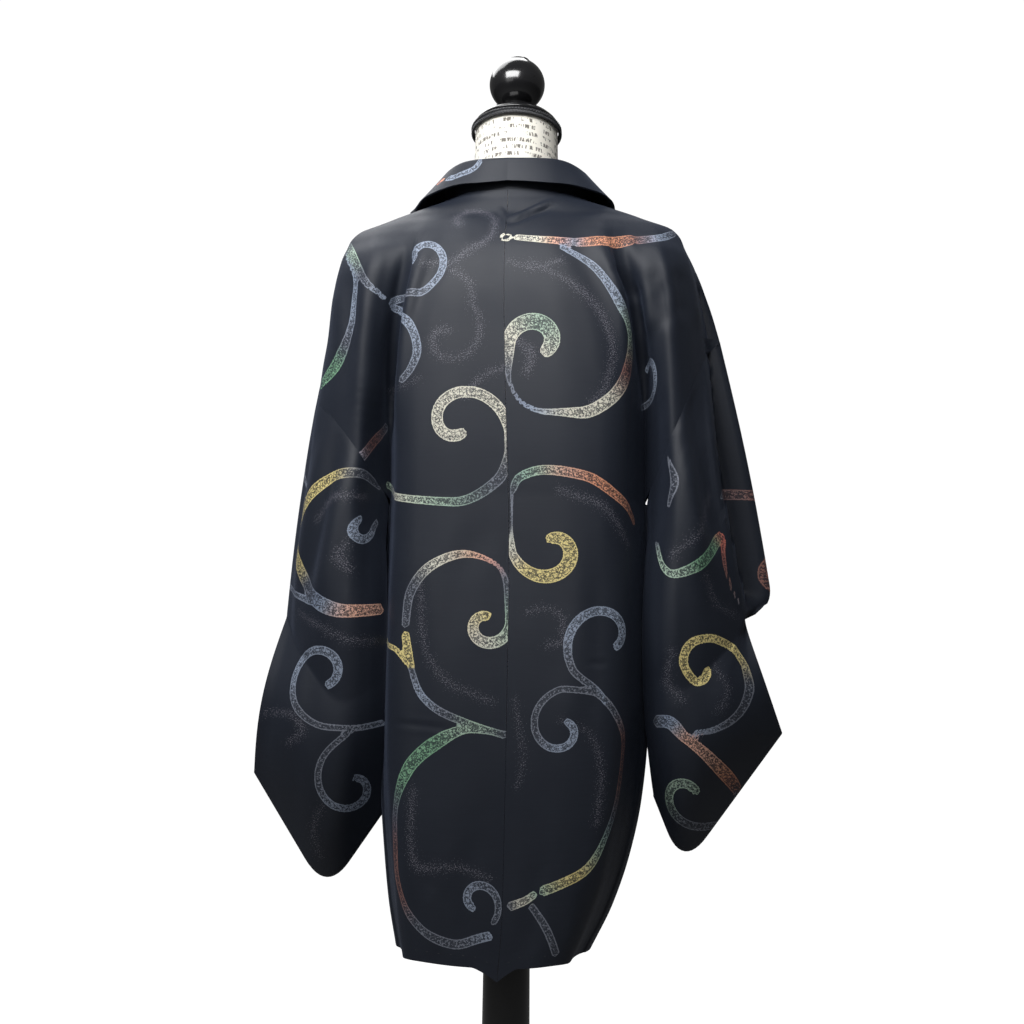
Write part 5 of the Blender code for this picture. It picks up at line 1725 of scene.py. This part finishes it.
def buildCollar():
    left, right = collarSeam(leftSide), collarSeam(rightSide)
    stations = [(at, point, 1) for at, point in reversed(left)] + [(at, point, -1) for at, point in right[1:]]
    spots = np.array([point for at, point, sign in stations])
    ways = np.gradient(spots, axis=0)
    for _ in range(3):
        ways[1:-1] = 0.25 * ways[:-2] + 0.5 * ways[1:-1] + 0.25 * ways[2:]
    points, flats, walked = [], [], 0.0
    for i, (at, point, sign) in enumerate(stations):
        along = ways[i] / np.linalg.norm(ways[i])
        _, turn, stand, fall, lean, angle = through(collar["settings"][:, 0], collar["settings"], at)[0]
        lean = math.radians(lean)
        outward = np.array([point[0], point[1] * 1.4, 0.0])
        outward /= np.linalg.norm(outward)
        standing = np.array([0.0, 0.0, math.cos(lean)]) + outward * math.sin(lean)
        up = standing * (1.0 - turn) + np.array([-float(sign), 0.0, 0.0]) * turn
        up -= along * np.dot(up, along)
        up /= np.linalg.norm(up)
        out = np.cross(along, up)
        if np.dot(out, np.array([0.0, -1.0, 0.0]) * turn + outward * (1.0 - turn)) < 0.0:
            out = -out
        everywhere, atPoint, atBack = collar["rise"]
        share = ease(at / collar["riseReach"])
        rise = everywhere + (1.0 - turn) * (atPoint * share + atBack * (1.0 - share))
        base = point + up * rise - out * collar["behind"]
        more, middle, wide = collar["point"]
        fall += more * float(sign > 0) * math.exp(-((at - middle) / wide) ** 2)
        # the free edge waves a little
        wave = collar["wave"] * math.sin(7.0 * at + 0.6 * sign) * min(1.0, at * 3.0)
        outline, lengths = collarOutline(stand, fall + wave, angle)
        if i:
            walked += float(np.linalg.norm(point - stations[i - 1][1]))
        points.extend(base + out * x + up * y for x, y in outline)
        flats.extend((length, walked) for length in lengths)
    count, rings = len(outline), len(stations)
    faces = ringFaces(count, rings)
    faces.append(list(range(count))[::-1])
    faces.append([(rings - 1) * count + i for i in range(count)])
    piece = newPiece("foldedCollar", points, faces, [scrollSilk])
    mesh = piece.data
    work = bmesh.new()
    work.from_mesh(mesh)
    bmesh.ops.recalc_face_normals(work, faces=work.faces)
    work.to_mesh(mesh)
    work.free()
    order = np.zeros(len(mesh.loops), dtype=np.int32)
    mesh.loops.foreach_get("vertex_index", order)
    flats = np.array(flats)
    paintCorners(mesh, order, flats, *scrollField("collar", flats, [np.array(points)]))
    return piece


form = {
    "around": 144,
    "up": 190,
    "shoulderZ": (1.30, 1.40, 39),  # more rings here: from, to, how many
    "bottomZ": 0.735,
    "topZ": 1.480,
    "leanFromZ": 1.43,
    "tilt": math.tan(math.radians(11.0)),  # how the neck's top leans down to the chest
    "seams": (-90.0, 90.0, 38.0, 142.0, 218.0, 322.0),  # degrees round, 0 at the wearer's left
    "seamDepth": 0.0009,
    "seamWidth": 1.6,  # degrees
    "seamTopZ": 1.40,
    "seamOnNeck": 0.2,  # of the depth
    "halfStart": 0.7,  # where the print of the second half starts
    "crispEdge": 50,  # degrees
}


def leanRing(ring):
    # only the top of the neck leans
    share = np.clip((ring[:, 2] - form["leanFromZ"]) / (form["topZ"] - form["leanFromZ"]), 0.0, 1.0)
    ring = ring.copy()
    ring[:, 2] += form["tilt"] * ring[:, 1] * share
    return ring


def buildForm():
    around = form["around"]
    low, high, more = form["shoulderZ"]
    zs = np.linspace(form["bottomZ"], form["topZ"], form["up"] + 1)
    zs = np.sort(np.concatenate([zs, np.linspace(low, high, more + 2)[1:-1]]))
    angle = 2.0 * math.pi * np.arange(around) / around
    points = []
    rings = [leanRing(formRing(z, angle)) for z in zs]
    # the print runs on over the shoulders without stretching: measured down from the neck's top
    rises = np.linalg.norm(np.diff(np.array(rings), axis=0), axis=2)
    down = np.vstack([np.cumsum(rises[::-1], axis=0)[::-1], np.zeros(around)])
    walked = [walkedAlong(np.vstack([ring, ring[:1]])) for ring in rings]
    for z, ring in zip(zs, rings):
        out = ring * np.array([1.0, 1.0, 0.0])
        out /= np.linalg.norm(out, axis=1, keepdims=True)
        deep = form["seamDepth"] * (1.0 if z < form["seamTopZ"] else form["seamOnNeck"])
        for seam in form["seams"]:
            apart = np.abs((np.degrees(angle) - seam + 180.0) % 360.0 - 180.0)
            ring = ring - out * (deep * np.exp(-(apart / form["seamWidth"]) ** 2))[:, None]
        points.extend(ring)
    faces = ringFaces(around, len(zs))
    low, high = len(points), len(points) + 1
    points += [np.array([0.0, 0.0, form["bottomZ"]]), np.array([0.0, 0.0, form["topZ"]])]
    top = (len(zs) - 1) * around
    for i in range(around):
        j = (i + 1) % around
        faces.append([low, j, i])
        faces.append([high, top + i, top + j])
    piece = newPiece("formCover", points, faces, [printedCotton])
    mesh = piece.data
    # each half is measured across from its own middle, front or back
    values = []
    for polygon in mesh.polygons:
        ring = list(polygon.vertices)
        first = min(r % around for r in ring if r < low)
        wraps = first == 0 and max(r % around for r in ring if r < low) == around - 1
        half = 1 if wraps or first >= around // 2 else 0
        for r in ring:
            if r >= low:
                values.append((0.0, 0.0))
                continue
            k, i = divmod(r, around)
            i = around if wraps and i == 0 else i
            middle = walked[k][around // 4 + half * around // 2]
            height = form["topZ"] - down[k][i % around]
            values.append((walked[k][i] - middle + form["halfStart"] * half, height))
    uv = mesh.uv_layers.new(name="clothMap")
    uv.data.foreach_set("uv", np.array(values, dtype=np.float32).ravel())
    mesh.set_sharp_from_angle(angle=math.radians(form["crispEdge"]))
    return piece


trim = {
    "neckRadius": 0.052,
    "around": 144,
    "ringSteps": 10,
    "core": (0.0026, 0.0017, -0.0046, 0.0036),  # off the neck and half thick, off its top and half tall
    "loops": 92,
    "loopSize": (0.0056, 0.0027),
    "loopLean": 0.62,
    "loopRows": 0.0019,  # above and below the braid's middle
    "loopAway": 0.0043,
    "loopDrop": 0.0048,
    "uneven": 0.05,
}


def buildTrim():
    # a flat braid round the neck: a core with two rows of slanted loops laid round it
    around, steps = trim["around"], trim["ringSteps"]
    away, thick, drop, tall = trim["core"]
    points = []
    for i in range(around):
        angle = 2.0 * math.pi * i / around
        ring = []
        for k in range(steps):
            turn = 2.0 * math.pi * k / steps
            radius = trim["neckRadius"] + away + thick * math.cos(turn)
            z = form["topZ"] + drop + tall * math.sin(turn)
            ring.append((radius * math.cos(angle), radius * math.sin(angle), z))
        points.extend(leanRing(np.array(ring)))
    faces = []
    for i in range(around):
        a, b = i * steps, ((i + 1) % around) * steps
        for k in range(steps):
            j = (k + 1) % steps
            faces.append([a + k, b + k, b + j, a + j])
    core = newPiece("neckBraidCore", points, faces, [blackBraid])
    spots, ways, outs = [], [], []
    up = np.array([0.0, 0.0, 1.0])
    for sign in (1.0, -1.0):
        row, lean = sign * trim["loopRows"], sign * trim["loopLean"]
        for i in range(trim["loops"]):
            angle = 2.0 * math.pi * (i + (0.5 if sign < 0.0 else 0.0)) / trim["loops"]
            out = np.array([math.cos(angle), math.sin(angle), 0.0])
            onward = np.array([-math.sin(angle), math.cos(angle), 0.0])
            z = form["topZ"] - trim["loopDrop"] + row
            spots.append(out * (trim["neckRadius"] + trim["loopAway"]) + up * z)
            ways.append(onward * math.cos(lean) + up * math.sin(lean))
            outs.append(out)
    spots, size = leanRing(np.array(spots)), trim["loopSize"]
    return core, layThreads("neckBraidLoops", spots, ways, outs, *size, blackBraid, trim["uneven"])


# profiles are points (radius, height), each from its own foot
cap = {
    "profile": [
        (0.0, 0.0), (0.0522, 0.0), (0.0537, 0.0020), (0.0522, 0.0046), (0.0450, 0.0112), (0.0320, 0.0168),
        (0.0230, 0.0200), (0.0, 0.0200),
    ],
    "corner": 0.004,
}
finial = {
    "foot": [(0.0, 0.0), (0.0212, 0.0), (0.0205, 0.003), (0.0190, 0.0062)],
    "leans": 0.0045,  # this much of the foot lies on the leaning cap
    "ballZ": 0.0378,
    "ball": (0.0352, 0.0336),  # half wide and half tall
    "ballArc": (-55.0, 60.0, 49),
    "tip": [  # from the ball's middle
        (0.0166, 0.0300), (0.0158, 0.0310), (0.0148, 0.0326), (0.0130, 0.0334), (0.0060, 0.0334),
        (0.0, 0.0334),
    ],
    "segments": 128,
}
disc = {
    "depth": 0.0180,
    "profile": [(0.0700, -0.0180), (0.0740, -0.0150), (0.0740, -0.0020)],  # from the form's bottom
    "topRadius": 0.0720,
    "corner": 0.002,
}
pole = {
    "topRadius": 0.026,
    "bottomRadius": 0.031,
    "steps": 24,
}
base = {
    "radius": 0.180,
    "height": 0.050,
    "rim": [(-0.003, 0.0), (0.0, 0.003), (0.0, 0.014), (-0.004, 0.019), (-0.020, 0.024)],  # from the radius
    "rise": [(0.110, 0.032), (0.060, 0.041)],
    "top": [(0.046, 0.002), (0.042, 0.0)],  # down from the top
    "corner": 0.006,
    "segments": 128,
}
seamGap = 0.0003  # between the form, its cap, its disc, the pole and the base


def raised(profile, z):
    return [(radius, z + height) for radius, height in profile]


def buildStand():
    made = {}
    capZ = form["topZ"] + seamGap
    piece = lathe("neckCap", rounded(raised(cap["profile"], capZ), cap["corner"]), blackLacquer)
    for vertex in piece.data.vertices:
        vertex.co.z += form["tilt"] * vertex.co.y
    made["form_cap"] = piece
    footZ = capZ + cap["profile"][-1][1] + seamGap
    ballZ = footZ + finial["ballZ"]
    wide, tall = finial["ball"]
    arc = [math.radians(degrees) for degrees in np.linspace(*finial["ballArc"])]
    ball = [(wide * math.cos(angle), tall * math.sin(angle)) for angle in arc]
    profile = raised(finial["foot"], footZ) + raised(ball + finial["tip"], ballZ)
    piece = lathe("ballFinial", profile, blackLacquer, finial["segments"])
    for vertex in piece.data.vertices:
        if vertex.co.z < footZ + finial["leans"]:
            vertex.co.z += form["tilt"] * vertex.co.y
    made["form_finial"] = piece
    low = form["bottomZ"]
    profile = [(0.0, low - disc["depth"]), *raised(disc["profile"], low)]
    profile += [(disc["topRadius"], low - seamGap), (0.0, low - seamGap)]
    made["form_disc"] = lathe("formFloor", rounded(profile, disc["corner"]), blackLacquer)
    top, bottom = low - disc["depth"] - seamGap, base["height"] + seamGap
    profile = [(0.0, bottom)]
    for t in np.linspace(0.0, 1.0, pole["steps"] + 1):
        radius = pole["bottomRadius"] + (pole["topRadius"] - pole["bottomRadius"]) * t
        profile.append((radius, bottom + (top - bottom) * t))
    profile.append((0.0, top))
    made["stand_pole"] = lathe("turnedPole", profile, blackLacquer)
    profile = [(0.0, 0.0)] + [(base["radius"] + x, z) for x, z in base["rim"]] + base["rise"]
    profile += [(radius, base["height"] - down) for radius, down in base["top"]] + [(0.0, base["height"])]
    profile = rounded(profile, base["corner"])
    made["stand_base"] = lathe("roundBase", profile, blackLacquer, base["segments"])
    return made


stitches = {}
jacketPieces = buildJacket()
collarPiece = buildCollar()
print("stage 4: jacket and collar")
formCover = buildForm()
neckBraid, braidLoops = buildTrim()
standPieces = buildStand()
print("stage 5: form and stand")

# what each piece stands for: its node, the flat width and length of what shows, its area if not a rectangle
cutSizes = {
    "bodyLeft": ("body_left", (0.30, 1.82), 0.49),
    "bodyRight": ("body_right", (0.30, 1.82), 0.49),
    "gussetLeft": ("gusset_left", (0.075, 0.54), 0.026),
    "gussetRight": ("gusset_right", (0.075, 0.54), 0.026),
    "sleeveLeft": ("sleeve_left", (0.52, 0.42), None),
    "sleeveRight": ("sleeve_right", (0.52, 0.42), None),
}


def join(piece, node=None):
    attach(piece, "root")
    if node:
        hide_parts(node)


for title, (node, flat, area) in cutSizes.items():
    join(jacketPieces[title], node)
for piece in stitches.values():
    join(piece)
join(collarPiece, "collar")
join(formCover, "form_torso")
join(neckBraid, "form_trim")
join(braidLoops)
for node, piece in standPieces.items():
    join(piece, node)

print("stage 6: pieces joined to the part")
